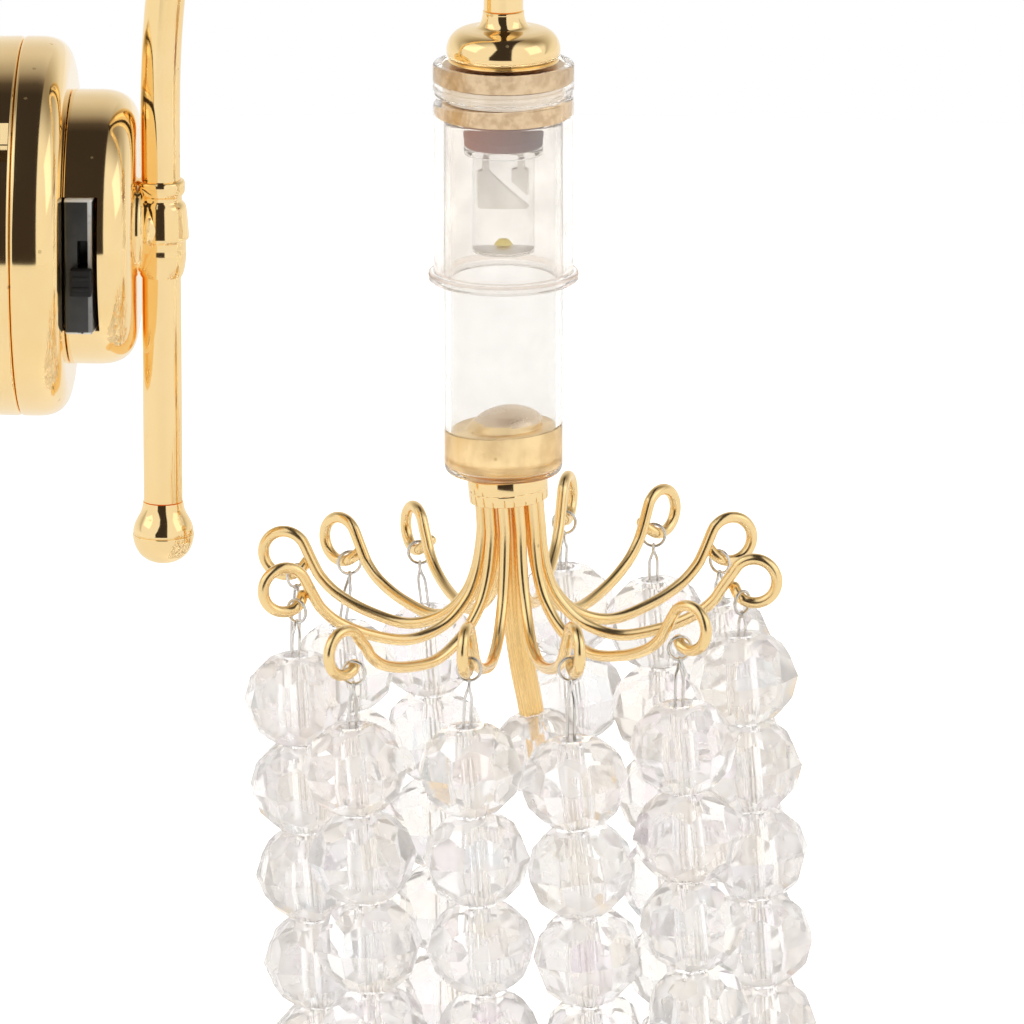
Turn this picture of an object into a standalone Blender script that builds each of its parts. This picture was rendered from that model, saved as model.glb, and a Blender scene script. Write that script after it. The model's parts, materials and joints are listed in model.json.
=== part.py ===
"""Miniature battery wall chandelier for a 1:12 dolls' house.

+Z is up. Sizes are in millimetres and objects are built in metres. The origin is on the wall plane at
the battery case's axis: X = 0 is the wall, +X points away from it ("front"), -Y is the side with the
slide switch. The case axis lies along X; the lamp hangs from the swan-neck rod on the line X = LAMP_X.
"""

import math
from collections import namedtuple

import bmesh
import bpy
from mathutils import Matrix, Vector

MM = 0.001
CONTACT_GAP = 0.03  # air left between pieces that touch

# Pad and battery case: radii, and stations along X from the wall
PAD_T = 0.80
PAD_R = 7.60
CASE_R = 9.15
CASE_BACK = PAD_T + 0.02
CASE_SEAM = 3.76
SEAM_GAP = 0.05
CASE_LIP = 2.60
CASE_FACE = 6.10
CASE_ROUND = 1.65
CASE_WALL = 0.70
REAR_ROUND = 0.45
REAR_WALL = 0.80
LIP_R_OUT = 8.40
LIP_R_IN = 8.08
LIP_CLEARANCE = 0.04
CASE_SEG = 36
DISC_SEG = 32
NOTCH_BOX = ((2.60, -9.6, 5.45), (3.42, -6.55, 7.6))

# Cell and contacts
CELL_R = 8.00
CELL_X0, CELL_X1 = 2.98, 4.98
CELL_STEP_R, CELL_STEP_X, CELL_EDGE_X = 0.90, 0.25, 0.40
SPRING_HALF_T, SPRING_HALF_W = 0.10, 1.30
SPRING_PATH = (  # x, y, z down the middle of the strip
    (1.75, 0, -5.5), (1.75, 0, -3.0), (2.2, 0, -1.4), (2.72, 0, 0.0), (2.2, 0, 1.4),
    (1.78, 0, 3.0), (1.78, 0, 4.6),
)
PLATE_BOX = ((5.03, -1.6, -5.0), (5.20, 1.6, 5.0))
PLATE_BEVEL = 0.05

# Switch drum on the case front
DRUM_R = 6.62
DRUM_BACK = CASE_FACE + CONTACT_GAP
DRUM_CYL = 7.60
DRUM_FACE = 9.30
DRUM_WALL = 0.60

# Slide switch on the drum's -Y side
SWITCH_X0, SWITCH_X1 = 6.17, 7.72
SWITCH_Z0, SWITCH_Z1 = -3.84, 2.77
SWITCH_Y_OUT, SWITCH_Y_IN = -6.30, -3.70
SWITCH_BEVEL = 0.18
OPENING_X0 = 5.9
OPENING_Y_OUT, OPENING_Y_IN = -7.4, -3.2
OPENING_CLEARANCE = 0.04
SLOT_X0, SLOT_X1 = 6.80, 7.44
SLOT_Z0, SLOT_Z1 = -1.85, 0.76
SLOT_DEPTH, SLOT_OVERRUN = 1.30, 0.50
KNOB_X0, KNOB_X1 = 6.47, 7.50
KNOB_Z0, KNOB_Z1 = -1.86, -0.54
KNOB_Y_OUT = -7.05
KNOB_BEVEL = 0.07
KNOB_STEM_H = 1.20
KNOB_STEM_DEPTH, KNOB_STEM_OVERLAP = 1.20, 0.30

# Swan-neck rod, its boss and the ball finial
ROD_X = 10.38
ROD_R = 0.95
ROD_SEG = 12
ROD_BOTTOM_Z = -13.55
ROD_LAMP_END_Z = 10.86
CROWN_Z = 20.6
LAMP_X = 26.85
BALL_R = 1.50
BALL_Z = -15.20
BOSS_R = 2.25
KNUCKLE_R = 1.31
HOLE_R = ROD_R + CONTACT_GAP
HOLE_HALF_H = 6.0
KNUCKLE_SEG = 18
BOSS_SEG = 20
BOSS_BACK = DRUM_FACE + CONTACT_GAP
BOSS_TRIM_X0, BOSS_TRIM_HALF_W, BOSS_TRIM_HALF_H = 8.2, 3.0, 4.0

# Lamp head: radii about the line X = LAMP_X, and heights
LAMP_SEG = 28
RING_R = 3.39
RING_Z0, RING_Z1 = 6.70, 8.24
RING_CHAMFER = 0.12
SLEEVE_R, SLEEVE_IN = 3.36, 2.94
SLEEVE_Z0, SLEEVE_Z1 = -2.46, 6.66
FLANGE_R = 3.62
FLANGE_Z = -1.95
CUP_R, CUP_IN, CUP_HOLE = 2.86, 2.02, 0.75
CUP_Z0, CUP_Z1 = 5.42, 8.14
CUP_TOP_T = 0.60
GROMMET_R, GROMMET_HOLE = 1.94, 0.62
GROMMET_Z0, GROMMET_Z1 = 4.15, 7.40
GROMMET_CHAMFER = 0.10
LED_R = 1.50
LED_FLANGE_R = 1.92
LED_Z0, LED_FLANGE_Z, LED_Z1 = -1.00, 3.80, 4.11
LED_CHAMFER = 0.08
LED_DIMPLE_R, LED_DIMPLE_H = 1.05, 0.75
LEAD_R, LEAD_OFFSET, LEAD_LENGTH = 0.17, 0.15, 5.4
LEAD_SEG = 12
TUBE_R, TUBE_IN, TUBE_HOLE = 2.86, 2.46, 1.30
TUBE_Z0, TUBE_Z1 = -12.20, 5.30
TUBE_ROUND = 1.05
TUBE_FLOOR_T = 0.45
TUBE_INNER_CHAMFER_R, TUBE_INNER_CHAMFER_Z = 0.55, 1.05

# Plug and collar share a hub frame that leans about a pivot on the lamp axis: its -Z leans to +X
HUB_PIVOT_Z = -9.90
HUB_TILT = math.radians(4.5)
HUB_FRAME = Matrix.Translation((LAMP_X, 0, HUB_PIVOT_Z)) @ Matrix.Rotation(-HUB_TILT, 4, "Y")
AXIS_SHIFT_MAX = 0.38
PLUG_R = 2.30
PLUG_TOP, PLUG_BOTTOM = 0.20, -1.60
PLUG_TAPER, PLUG_TAPER_Z = 0.55, -1.0
PLUG_DOME_R, PLUG_DOME_H = 1.74, 1.02
PLUG_SEG = 24
NECK_R = 0.85
NECK_GAP = 0.06
COLLAR_R, COLLAR_BORE = 1.93, 1.80
COLLAR_TOP, COLLAR_BOTTOM = -2.42, -3.42
COLLAR_CHAMFER, COLLAR_ROOF_T = 0.10, 0.24

# Centre stem and its bead
STEM_R = 0.66
STEM_SEG = 12
STEM_PATH = (  # distance from the lamp axis to +X, z
    (0.255, -12.95), (0.40, -15.4), (0.58, -18.9), (0.90, -21.5), (1.20, -23.1), (1.36, -24.0),
)
STEM_BEAD_HALF = 1.92
STEM_BEAD_GAP = 0.05
STEM_BEAD_SEG = 10

# Wire arms, with the heights of their eyes and of the first bead under each eye
Arm = namedtuple("Arm", "azimuth_deg eye_z eye_out strand_drop")
ARMS = [Arm(*row) for row in (
    (78.4, -16.13, 11.4, 5.5),
    (52.2, -16.19, 11.4, 5.5),
    (22.7, -16.36, 11.4, 5.3),
    (-4.0, -17.08, 11.8, 4.85),
    (-39.6, -17.74, 11.4, 6.0),
    (-72.6, -17.91, 11.4, 6.65),
    (-98.4, -17.86, 11.4, 6.05),
    (-131.9, -18.82, 11.4, 5.85),
    (-160.5, -16.98, 11.4, 5.45),
    (167.1, -16.81, 11.4, 7.2),
    (139.4, -17.35, 11.4, 6.3),
    (116.9, -17.47, 11.4, 6.1),
)]
WIRE_R = 0.28
ARM_SEG = 5
ARM_REF_Z = -13.30
ARM_ROOT_R = 1.45
ROOT_FIRST_DEG = 80.8  # the arm roots are evenly spaced from this azimuth
NOMINAL_EYE_OUT = 11.4
NOMINAL_EYE_Z = ARM_REF_Z - 3.9
LIFT_POWER = 1.5  # how late along the arm a change of eye height sets in
TURN_RATE = 4.0  # an arm reaches its own azimuth after 1 / TURN_RATE of its reach
ARM_PROFILE = (  # distance from the axis, height relative to ARM_REF_Z, for the nominal eye
    (1.43, 0.50), (1.43, -1.0), (1.50, -2.2), (1.75, -3.6), (2.30, -4.9), (3.45, -6.1),
    (5.20, -6.70), (7.20, -6.32), (8.70, -5.65), (9.55, -4.93), (9.98, -4.25),
)
EYE_R = 1.09
EYE_START_DEG, EYE_END_DEG, EYE_STEPS = 153.0, -140.0, 11

# Links and bead strands
LINK_R = 0.55
LINK_WIRE_R = 0.065
LINK_STEPS, LINK_WIRE_SEG = 8, 4
LINK_AT = math.radians(-122.0)
STRAND_IN = 0.55
STRAND_SHIFT_X = 0.10
STRAND_MIN_SPACE = 4.97
SPACING_PASSES = 400
STRAND_LEAN = math.radians(3.8)
STRAND_DIR = Vector((math.sin(STRAND_LEAN), 0, -math.cos(STRAND_LEAN)))
STRAND_SEG = 6
BEADS = 7
BEAD_PITCH = 4.40
BEAD_HALF = 2.10
BEAD_PROFILE = ((-BEAD_HALF, 0.95), (-0.95, 2.30), (0.95, 2.30), (BEAD_HALF, 0.95))  # along, radius
THREAD_TOP_R, THREAD_R, TAIL_R = 0.14, 0.16, 0.20
THREAD_GAP = 0.06
THREAD_BEND = 0.25
BEAD_END_GAP = 0.02
TAIL_LENGTH = 0.75

SMOOTH_DEG = 35.0
WIRE_SMOOTH_DEG = 60.0
BEAD_SMOOTH_DEG = 20.0


# ---------------------------------------------------------------- helpers
def clear_scene():
    for ob in list(bpy.data.objects):
        bpy.data.objects.remove(ob)
    for mesh in list(bpy.data.meshes):
        bpy.data.meshes.remove(mesh)


def material(name, colour, roughness, metallic=0.0, transmission=0.0):
    mat = bpy.data.materials.new(name)
    mat.use_nodes = True
    inputs = mat.node_tree.nodes["Principled BSDF"].inputs
    inputs["Base Color"].default_value = (*colour, 1.0)
    inputs["Roughness"].default_value = roughness
    inputs["Metallic"].default_value = metallic
    inputs["Transmission Weight"].default_value = transmission
    mat.diffuse_color = (*colour, 1.0)
    return mat


def signed_volume(mesh):
    mesh.calc_loop_triangles()
    total = 0.0
    for triangle in mesh.loop_triangles:
        first, second, third = (mesh.vertices[i].co for i in triangle.vertices)
        total += first.dot(second.cross(third))
    return total / 6


def add(name, shape, mat, smooth_deg=SMOOTH_DEG, origin=(0.0, 0.0, 0.0)):
    """Turns a bmesh in millimetres into an object in metres, with its origin at the given point."""
    bmesh.ops.remove_doubles(shape, verts=shape.verts[:], dist=1e-4)
    bmesh.ops.recalc_face_normals(shape, faces=shape.faces[:])
    shape.transform(Matrix.Translation(-Vector(origin)))
    shape.transform(Matrix.Scale(MM, 4))
    mesh = bpy.data.meshes.new(name)
    shape.to_mesh(mesh)
    shape.free()
    if signed_volume(mesh) < 0:
        mesh.flip_normals()
    mesh.materials.append(mat)
    mesh.shade_smooth()
    mesh.set_sharp_from_angle(angle=math.radians(smooth_deg))
    ob = bpy.data.objects.new(name, mesh)
    ob.location = Vector(origin) * MM
    bpy.context.scene.collection.objects.link(ob)
    return ob


def boolean(ob, operation, helper_name, helper_shape):
    """Adds a hidden helper object and a boolean modifier that uses it."""
    helper = add(helper_name, helper_shape, GUIDE)
    helper.hide_render = True
    helper.display_type = "WIRE"
    modifier = ob.modifiers.new(operation.lower() + "_" + helper_name, "BOOLEAN")
    modifier.operation = operation
    modifier.solver = "EXACT"
    modifier.object = helper


def lathe(profile, segments, axis="Z", centre_x=0.0):
    """Spins a closed profile of (radius, distance along the axis) points about the X or Z axis."""
    shape = bmesh.new()
    verts = [shape.verts.new((radius, 0.0, along)) for radius, along in profile]
    edges = []
    for start, end in zip(verts, verts[1:] + verts[:1]):
        if start.co.x < 1e-9 and end.co.x < 1e-9:
            continue  # the stretch along the axis itself needs no wall
        edges.append(shape.edges.new((start, end)))
    bmesh.ops.spin(
        shape, geom=verts + edges, cent=(0, 0, 0), axis=(0, 0, 1), angle=2 * math.pi,
        steps=segments, use_merge=True, use_duplicate=False)
    if axis == "X":
        shape.transform(Matrix.Rotation(math.radians(90), 4, "Y"))
    shape.transform(Matrix.Translation((centre_x, 0, 0)))
    return shape


def lamp_lathe(profile):
    return lathe(profile, LAMP_SEG, centre_x=LAMP_X)


def hub_lathe(profile, segments):
    shape = lathe(profile, segments)
    shape.transform(HUB_FRAME)
    return shape


def arc(centre_r, centre_h, radius, start_deg, end_deg, steps):
    """Points of an arc in the (radius, height) plane."""
    points = []
    for i in range(steps + 1):
        angle = math.radians(start_deg + (end_deg - start_deg) * i / steps)
        points.append((centre_r + radius * math.cos(angle), centre_h + radius * math.sin(angle)))
    return points


def skin(rings, closed=False):
    """Joins rings of points with quads; an open run of rings gets flat ends."""
    shape = bmesh.new()
    loops = [[shape.verts.new(point) for point in ring] for ring in rings]
    following = loops[1:] + (loops[:1] if closed else [])
    for loop, after in zip(loops, following):
        for k in range(len(loop)):
            n = (k + 1) % len(loop)
            shape.faces.new((loop[k], loop[n], after[n], after[k]))
    if not closed:
        shape.faces.new(loops[0][::-1])
        shape.faces.new(loops[-1])
    return shape


def sweep(points, radii, segments):
    """A round bar along a path, with its own radius at each point and flat ends."""
    last = len(points) - 1
    tangents = [
        (points[min(i + 1, last)] - points[max(i - 1, 0)]).normalized() for i in range(last + 1)]
    # Seed for the ring normals; it must not lie along the path
    normal = Vector((0, 1, 0)) if abs(tangents[0].y) < 0.9 else Vector((1, 0, 0))
    rings = []
    for point, tangent, radius in zip(points, tangents, radii):
        normal = (normal - tangent * normal.dot(tangent)).normalized()
        side = tangent.cross(normal)
        angles = [2 * math.pi * k / segments for k in range(segments)]
        rings.append([
            point + (normal * math.cos(angle) + side * math.sin(angle)) * radius
            for angle in angles])
    return skin(rings)


def box(low, high, bevel=0.0, bevel_steps=2):
    shape = bmesh.new()
    bmesh.ops.create_cube(shape, size=1.0)
    for vert in shape.verts:
        vert.co = Vector([(c + 0.5) * (b - a) + a for c, a, b in zip(vert.co, low, high)])
    if bevel:
        bmesh.ops.bevel(
            shape, geom=shape.edges[:] + shape.verts[:], offset=bevel, segments=bevel_steps,
            affect="EDGES", profile=0.5)
    return shape


def catmull(points, per_span):
    """A smooth path through the given points."""
    knots = [Vector(point) for point in points]
    knots = [knots[0] * 2 - knots[1]] + knots + [knots[-1] * 2 - knots[-2]]
    path = []
    for p0, p1, p2, p3 in zip(knots, knots[1:], knots[2:], knots[3:]):
        for step in range(per_span):
            t = step / per_span
            path.append(0.5 * (
                (2 * p1) + (p2 - p0) * t + (2 * p0 - 5 * p1 + 4 * p2 - p3) * t * t
                + (3 * p1 - p0 - 3 * p2 + p3) * t ** 3))
    path.append(knots[-2])
    return path


def bezier(p0, p1, p2, p3, steps):
    """Points of a cubic curve, without its last one."""
    p0, p1, p2, p3 = (Vector(point) for point in (p0, p1, p2, p3))
    path = []
    for i in range(steps):
        t = i / steps
        u = 1 - t
        path.append(p0 * u ** 3 + p1 * 3 * t * u ** 2 + p2 * 3 * t * t * u + p3 * t ** 3)
    return path


# ---------------------------------------------------------------- wall side
def make_rear_cover():
    cavity_r = LIP_R_OUT + LIP_CLEARANCE
    floor_x = CASE_BACK + REAR_WALL
    rim_r = CASE_R - REAR_ROUND
    cover = add("rear_cover", lathe(
        [(0, CASE_BACK), (rim_r, CASE_BACK)]
        + arc(rim_r, CASE_BACK + REAR_ROUND, REAR_ROUND, -67.5, 0, 3)
        + [(CASE_R, CASE_SEAM), (cavity_r, CASE_SEAM), (cavity_r, floor_x), (0, floor_x)],
        CASE_SEG, "X"), GOLD)
    boolean(cover, "DIFFERENCE", "notch_cutter", box(*NOTCH_BOX))


def make_battery():
    step_r = CELL_R - CELL_STEP_R
    add("battery_cell", lathe(
        [(0, CELL_X0), (step_r, CELL_X0), (step_r, CELL_X0 + CELL_STEP_X),
         (CELL_R, CELL_X0 + CELL_EDGE_X), (CELL_R, CELL_X1), (0, CELL_X1)],
        DISC_SEG, "X"), STEEL)
    corners = (
        (-SPRING_HALF_T, -SPRING_HALF_W), (-SPRING_HALF_T, SPRING_HALF_W),
        (SPRING_HALF_T, SPRING_HALF_W), (SPRING_HALF_T, -SPRING_HALF_W))
    add("contact_spring", skin(
        [[(x + dx, y, z) for dx, y in corners] for x, _, z in catmull(SPRING_PATH, 2)]), STEEL)
    add("contact_plate", box(*PLATE_BOX, PLATE_BEVEL, 1), STEEL)


# ---------------------------------------------------------------- lamp case
def make_front_case():
    seam_x = CASE_SEAM + SEAM_GAP
    inner_x = CASE_FACE - CASE_WALL
    round_r = CASE_R - CASE_ROUND
    add("front_case", lathe(
        [(0, CASE_FACE), (round_r, CASE_FACE)]
        + arc(round_r, CASE_FACE - CASE_ROUND, CASE_ROUND, 75, 0, 5)
        + [(CASE_R, seam_x), (LIP_R_OUT, seam_x), (LIP_R_OUT, CASE_LIP), (LIP_R_IN, CASE_LIP),
           (LIP_R_IN, inner_x), (0, inner_x)],
        CASE_SEG, "X"), GOLD)


def make_switch_drum():
    rounding = DRUM_FACE - DRUM_CYL
    face_r = DRUM_R - rounding
    inner_r = DRUM_R - DRUM_WALL
    inner_x = DRUM_FACE - DRUM_WALL
    drum = add("switch_drum", lathe(
        [(0, DRUM_FACE), (face_r, DRUM_FACE)] + arc(face_r, DRUM_CYL, rounding, 75, 0, 5)
        + [(DRUM_R, DRUM_BACK), (inner_r, DRUM_BACK), (inner_r, DRUM_CYL), (face_r, inner_x),
           (0, inner_x)],
        DISC_SEG, "X"), GOLD)
    boolean(drum, "DIFFERENCE", "switch_cutter", box(
        (OPENING_X0, OPENING_Y_OUT, SWITCH_Z0 - OPENING_CLEARANCE),
        (SWITCH_X1 + OPENING_CLEARANCE, OPENING_Y_IN, SWITCH_Z1 + OPENING_CLEARANCE)))


def make_switch():
    body = add("switch_body", box(
        (SWITCH_X0, SWITCH_Y_OUT, SWITCH_Z0), (SWITCH_X1, SWITCH_Y_IN, SWITCH_Z1),
        SWITCH_BEVEL), BLACK)
    boolean(body, "DIFFERENCE", "knob_cutter", box(
        (SLOT_X0, SWITCH_Y_OUT - SLOT_OVERRUN, SLOT_Z0),
        (SLOT_X1, SWITCH_Y_OUT + SLOT_DEPTH, SLOT_Z1)))
    knob = add("switch_knob", box(
        (KNOB_X0, KNOB_Y_OUT, KNOB_Z0), (KNOB_X1, SWITCH_Y_OUT - CONTACT_GAP, KNOB_Z1),
        KNOB_BEVEL, 1), BLACK)
    stem_z0 = SLOT_Z0 + CONTACT_GAP
    boolean(knob, "UNION", "knob_stem", box(
        (SLOT_X0 + CONTACT_GAP, SWITCH_Y_OUT - KNOB_STEM_OVERLAP, stem_z0),
        (SLOT_X1 - CONTACT_GAP, SWITCH_Y_OUT + KNOB_STEM_DEPTH, stem_z0 + KNOB_STEM_H)))


# ---------------------------------------------------------------- rod, boss, finial
def make_arm_boss():
    """A turned knuckle round the rod, joined to a disc on the drum face."""
    knuckle = add("arm_boss", lathe(
        [(HOLE_R, 2.32), (ROD_R + 0.20, 2.32), (ROD_R + 0.22, 1.72), (ROD_R + 0.05, 1.58),
         (ROD_R + 0.06, 1.30), (1.22, 1.12), (KNUCKLE_R, 0.75), (KNUCKLE_R + 0.02, 0.30),
         (KNUCKLE_R, -0.15), (1.24, -0.50), (1.20, -0.62), (1.22, -1.20), (1.10, -1.90),
         (ROD_R + 0.12, -2.30), (HOLE_R, -2.40)],
        KNUCKLE_SEG, centre_x=ROD_X), GOLD)
    boolean(knuckle, "UNION", "boss_disc", lathe(
        [(0, BOSS_BACK), (BOSS_R, BOSS_BACK), (BOSS_R - 0.12, DRUM_FACE + 0.28),
         (BOSS_R - 0.75, ROD_X - 0.25), (0, ROD_X - 0.05)],
        BOSS_SEG, "X"))
    boolean(knuckle, "DIFFERENCE", "face_cutter", box(
        (BOSS_TRIM_X0, -BOSS_TRIM_HALF_W, -BOSS_TRIM_HALF_H),
        (BOSS_BACK, BOSS_TRIM_HALF_W, BOSS_TRIM_HALF_H)))
    boolean(knuckle, "DIFFERENCE", "rod_hole", lathe(
        [(0, -HOLE_HALF_H), (HOLE_R, -HOLE_HALF_H), (HOLE_R, HOLE_HALF_H), (0, HOLE_HALF_H)],
        KNUCKLE_SEG, centre_x=ROD_X))


def make_arm_rod():
    """Straight up from the finial, over the crown and down to the lamp cap."""
    bend_start = (ROD_X, 0, 5.6)
    shoulder = (ROD_X + 0.28, 0, 11.3)
    crown = (18.8, 0, CROWN_Z)
    lamp_drop = (LAMP_X, 0, 12.6)
    path = [Vector((ROD_X, 0, z)) for z in (ROD_BOTTOM_Z, -4.0, 5.0)]
    path += bezier(bend_start, (ROD_X, 0, 7.6), (ROD_X + 0.10, 0, 9.5), shoulder, 3)
    path += bezier(shoulder, (ROD_X + 0.72, 0, 16.3), (14.4, 0, CROWN_Z), crown, 9)
    path += bezier(crown, (23.6, 0, CROWN_Z), (LAMP_X, 0, 17.4), lamp_drop, 9)
    path += [Vector(lamp_drop), Vector((LAMP_X, 0, ROD_LAMP_END_Z))]
    add("arm_rod", sweep(path, [ROD_R] * len(path), ROD_SEG), GOLD)


def make_ball_finial():
    add("ball_finial", lathe(
        [(0, -13.60), (1.02, -13.60), (1.16, -13.85), (1.20, -14.02), (1.12, -14.10)]
        + arc(0, BALL_Z, BALL_R, 46, -67.5, 7) + [(0, BALL_Z - BALL_R)],
        KNUCKLE_SEG, centre_x=ROD_X), GOLD)


# ---------------------------------------------------------------- lamp head
def make_cap():
    add("bell_cap", lamp_lathe(
        [(0, 10.80), (0.96, 10.80), (1.05, 10.45), (1.26, 10.06), (1.50, 9.95), (1.90, 9.90),
         (2.20, 9.82), (2.50, 9.60), (2.68, 9.28), (2.74, 8.92), (2.68, 8.58), (2.52, 8.34),
         (2.40, 8.28), (1.9, 8.28), (1.75, 9.2), (0.6, 9.6), (0, 9.6)]), GOLD)
    add("cap_ring", lamp_lathe(
        [(RING_R, RING_Z1 - RING_CHAMFER), (RING_R, RING_Z0), (SLEEVE_IN, RING_Z0),
         (SLEEVE_IN, RING_Z1), (RING_R - RING_CHAMFER, RING_Z1)]), CLEAR)
    cup_roof_z = CUP_Z1 - CUP_TOP_T
    add("inner_cup", lamp_lathe(
        [(CUP_HOLE, CUP_Z1), (CUP_R, CUP_Z1), (CUP_R, CUP_Z0), (CUP_IN, CUP_Z0),
         (CUP_IN, cup_roof_z), (CUP_HOLE, cup_roof_z)]), GOLD)


def make_led():
    add("led_grommet", lamp_lathe(
        [(GROMMET_HOLE, GROMMET_Z1), (GROMMET_R, GROMMET_Z1),
         (GROMMET_R, GROMMET_Z0 + GROMMET_CHAMFER), (GROMMET_R - GROMMET_CHAMFER, GROMMET_Z0),
         (GROMMET_HOLE, GROMMET_Z0)]), DARK)
    add("led", lamp_lathe(
        [(0, LED_Z1), (LED_FLANGE_R, LED_Z1), (LED_FLANGE_R, LED_FLANGE_Z),
         (LED_R, LED_FLANGE_Z), (LED_R, LED_Z0 + LED_CHAMFER), (LED_R - LED_CHAMFER, LED_Z0),
         (LED_DIMPLE_R, LED_Z0), (0, LED_Z0 + LED_DIMPLE_H)]), LED_EPOXY)
    # Both leads are one bar: a circle split in half and pulled apart along X
    outline = []
    for k in range(LEAD_SEG):
        angle = 2 * math.pi * k / LEAD_SEG
        offset = LEAD_OFFSET if math.cos(angle) > 0 else -LEAD_OFFSET
        outline.append((LAMP_X + LEAD_R * math.cos(angle) + offset, LEAD_R * math.sin(angle)))
    bottom = LED_Z1 + CONTACT_GAP
    add("led_leads", skin(
        [[(x, y, z) for x, y in outline] for z in (bottom, bottom + LEAD_LENGTH)]), LEAD)


def make_tubes():
    add("upper_sleeve", lamp_lathe(
        [(SLEEVE_R, SLEEVE_Z1), (SLEEVE_R, FLANGE_Z), (FLANGE_R - 0.06, FLANGE_Z - 0.02),
         (FLANGE_R, FLANGE_Z - 0.12), (FLANGE_R, SLEEVE_Z0 + 0.18), (FLANGE_R - 0.15, SLEEVE_Z0),
         (SLEEVE_IN, SLEEVE_Z0), (SLEEVE_IN, SLEEVE_Z1)]), CLEAR)
    round_z = TUBE_Z0 + TUBE_ROUND
    floor_z = TUBE_Z0 + TUBE_FLOOR_T
    add("lower_tube", lamp_lathe(
        [(TUBE_R, TUBE_Z1), (TUBE_R, round_z)]
        + arc(TUBE_R - TUBE_ROUND, round_z, TUBE_ROUND, -18, -90, 4)
        + [(TUBE_HOLE, TUBE_Z0), (TUBE_HOLE, floor_z), (TUBE_IN - TUBE_INNER_CHAMFER_R, floor_z),
           (TUBE_IN, TUBE_Z0 + TUBE_INNER_CHAMFER_Z), (TUBE_IN, TUBE_Z1)]), CLEAR)


def make_hub():
    neck_z = COLLAR_TOP + NECK_GAP
    add("tube_plug", hub_lathe(
        [(0, PLUG_TOP + PLUG_DOME_H), (0.75, PLUG_TOP + 0.93), (1.3, PLUG_TOP + 0.68),
         (1.65, PLUG_TOP + 0.28), (PLUG_DOME_R, PLUG_TOP), (PLUG_R, PLUG_TOP),
         (PLUG_R, PLUG_TAPER_Z), (PLUG_R - PLUG_TAPER, PLUG_BOTTOM), (NECK_R, PLUG_BOTTOM),
         (NECK_R, neck_z), (0, neck_z)], PLUG_SEG), GOLD)
    roof_z = COLLAR_TOP - COLLAR_ROOF_T
    add("hub_collar", hub_lathe(
        [(0, COLLAR_TOP), (COLLAR_R - COLLAR_CHAMFER, COLLAR_TOP),
         (COLLAR_R, COLLAR_TOP - COLLAR_CHAMFER), (COLLAR_R, COLLAR_BOTTOM),
         (COLLAR_BORE, COLLAR_BOTTOM), (COLLAR_BORE, roof_z), (0, roof_z)], LAMP_SEG), GOLD)


def make_stem():
    path = catmull([(LAMP_X + x, 0, z) for x, z in STEM_PATH], 2)
    add("center_stem", sweep(path, [STEM_R] * len(path), STEM_SEG), GOLD)
    direction = (path[-1] - path[-3]).normalized()
    bead = lathe(
        [(0, STEM_BEAD_HALF), (0.95, STEM_BEAD_HALF), (2.1, 0.95), (2.2, 0), (2.1, -0.95),
         (0.95, -STEM_BEAD_HALF), (0, -STEM_BEAD_HALF)], STEM_BEAD_SEG)
    lean = Vector((0, 0, -1)).rotation_difference(direction).to_matrix().to_4x4()
    centre = path[-1] + direction * (STEM_BEAD_HALF + STEM_BEAD_GAP)
    bead.transform(Matrix.Translation(centre) @ lean)
    add("stem_bead", bead, GLASS)


# ---------------------------------------------------------------- arms, links, strands
def axis_shift(z):
    """How far the leaning hub's axis has moved to +X at a height."""
    return min(AXIS_SHIFT_MAX, max(0.0, (HUB_PIVOT_Z - z) * math.tan(HUB_TILT)))


def arm_path(index):
    """Centre line of a wire arm, from inside the collar to the end of its eye."""
    arm = ARMS[index]
    root_angle = math.radians(ROOT_FIRST_DEG - 360.0 / len(ARMS) * index)
    turn = (math.radians(arm.azimuth_deg) - root_angle + math.pi) % (2 * math.pi) - math.pi
    lift = arm.eye_z - NOMINAL_EYE_Z
    stretch = arm.eye_out / NOMINAL_EYE_OUT
    stations = []  # distance from the axis, z, share of the arm's reach
    for nominal_r, height in ARM_PROFILE:
        beyond_root = nominal_r - ARM_ROOT_R
        share = max(0.0, beyond_root / (NOMINAL_EYE_OUT - ARM_ROOT_R))
        radius = ARM_ROOT_R + beyond_root * ((1 - share) + share * stretch)
        stations.append((radius, ARM_REF_Z + height + lift * share ** LIFT_POWER, share))
    eye = arc(arm.eye_out, arm.eye_z, EYE_R, EYE_START_DEG, EYE_END_DEG, EYE_STEPS)
    stations += [(radius, z, 1.0) for radius, z in eye]
    path = []
    for radius, z, share in stations:
        blend = min(1.0, share * TURN_RATE)
        blend = blend * blend * (3 - 2 * blend)
        angle = root_angle + turn * blend
        x = LAMP_X + axis_shift(z) + radius * math.cos(angle)
        path.append(Vector((x, radius * math.sin(angle), z)))
    return path


def eye_frame(arm):
    """Centre of an arm's eye, with the outward and tangential directions there."""
    azimuth = math.radians(arm.azimuth_deg)
    outward = Vector((math.cos(azimuth), math.sin(azimuth), 0))
    centre = Vector((LAMP_X + AXIS_SHIFT_MAX, 0, arm.eye_z)) + outward * arm.eye_out
    return centre, outward, Vector((-math.sin(azimuth), math.cos(azimuth), 0))


def link_centre(arm):
    centre, outward, _ = eye_frame(arm)
    wire = centre + outward * (EYE_R * math.cos(LINK_AT))
    wire.z += EYE_R * math.sin(LINK_AT)
    return wire - Vector((0, 0, LINK_R - LINK_WIRE_R - WIRE_R - CONTACT_GAP))


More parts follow.
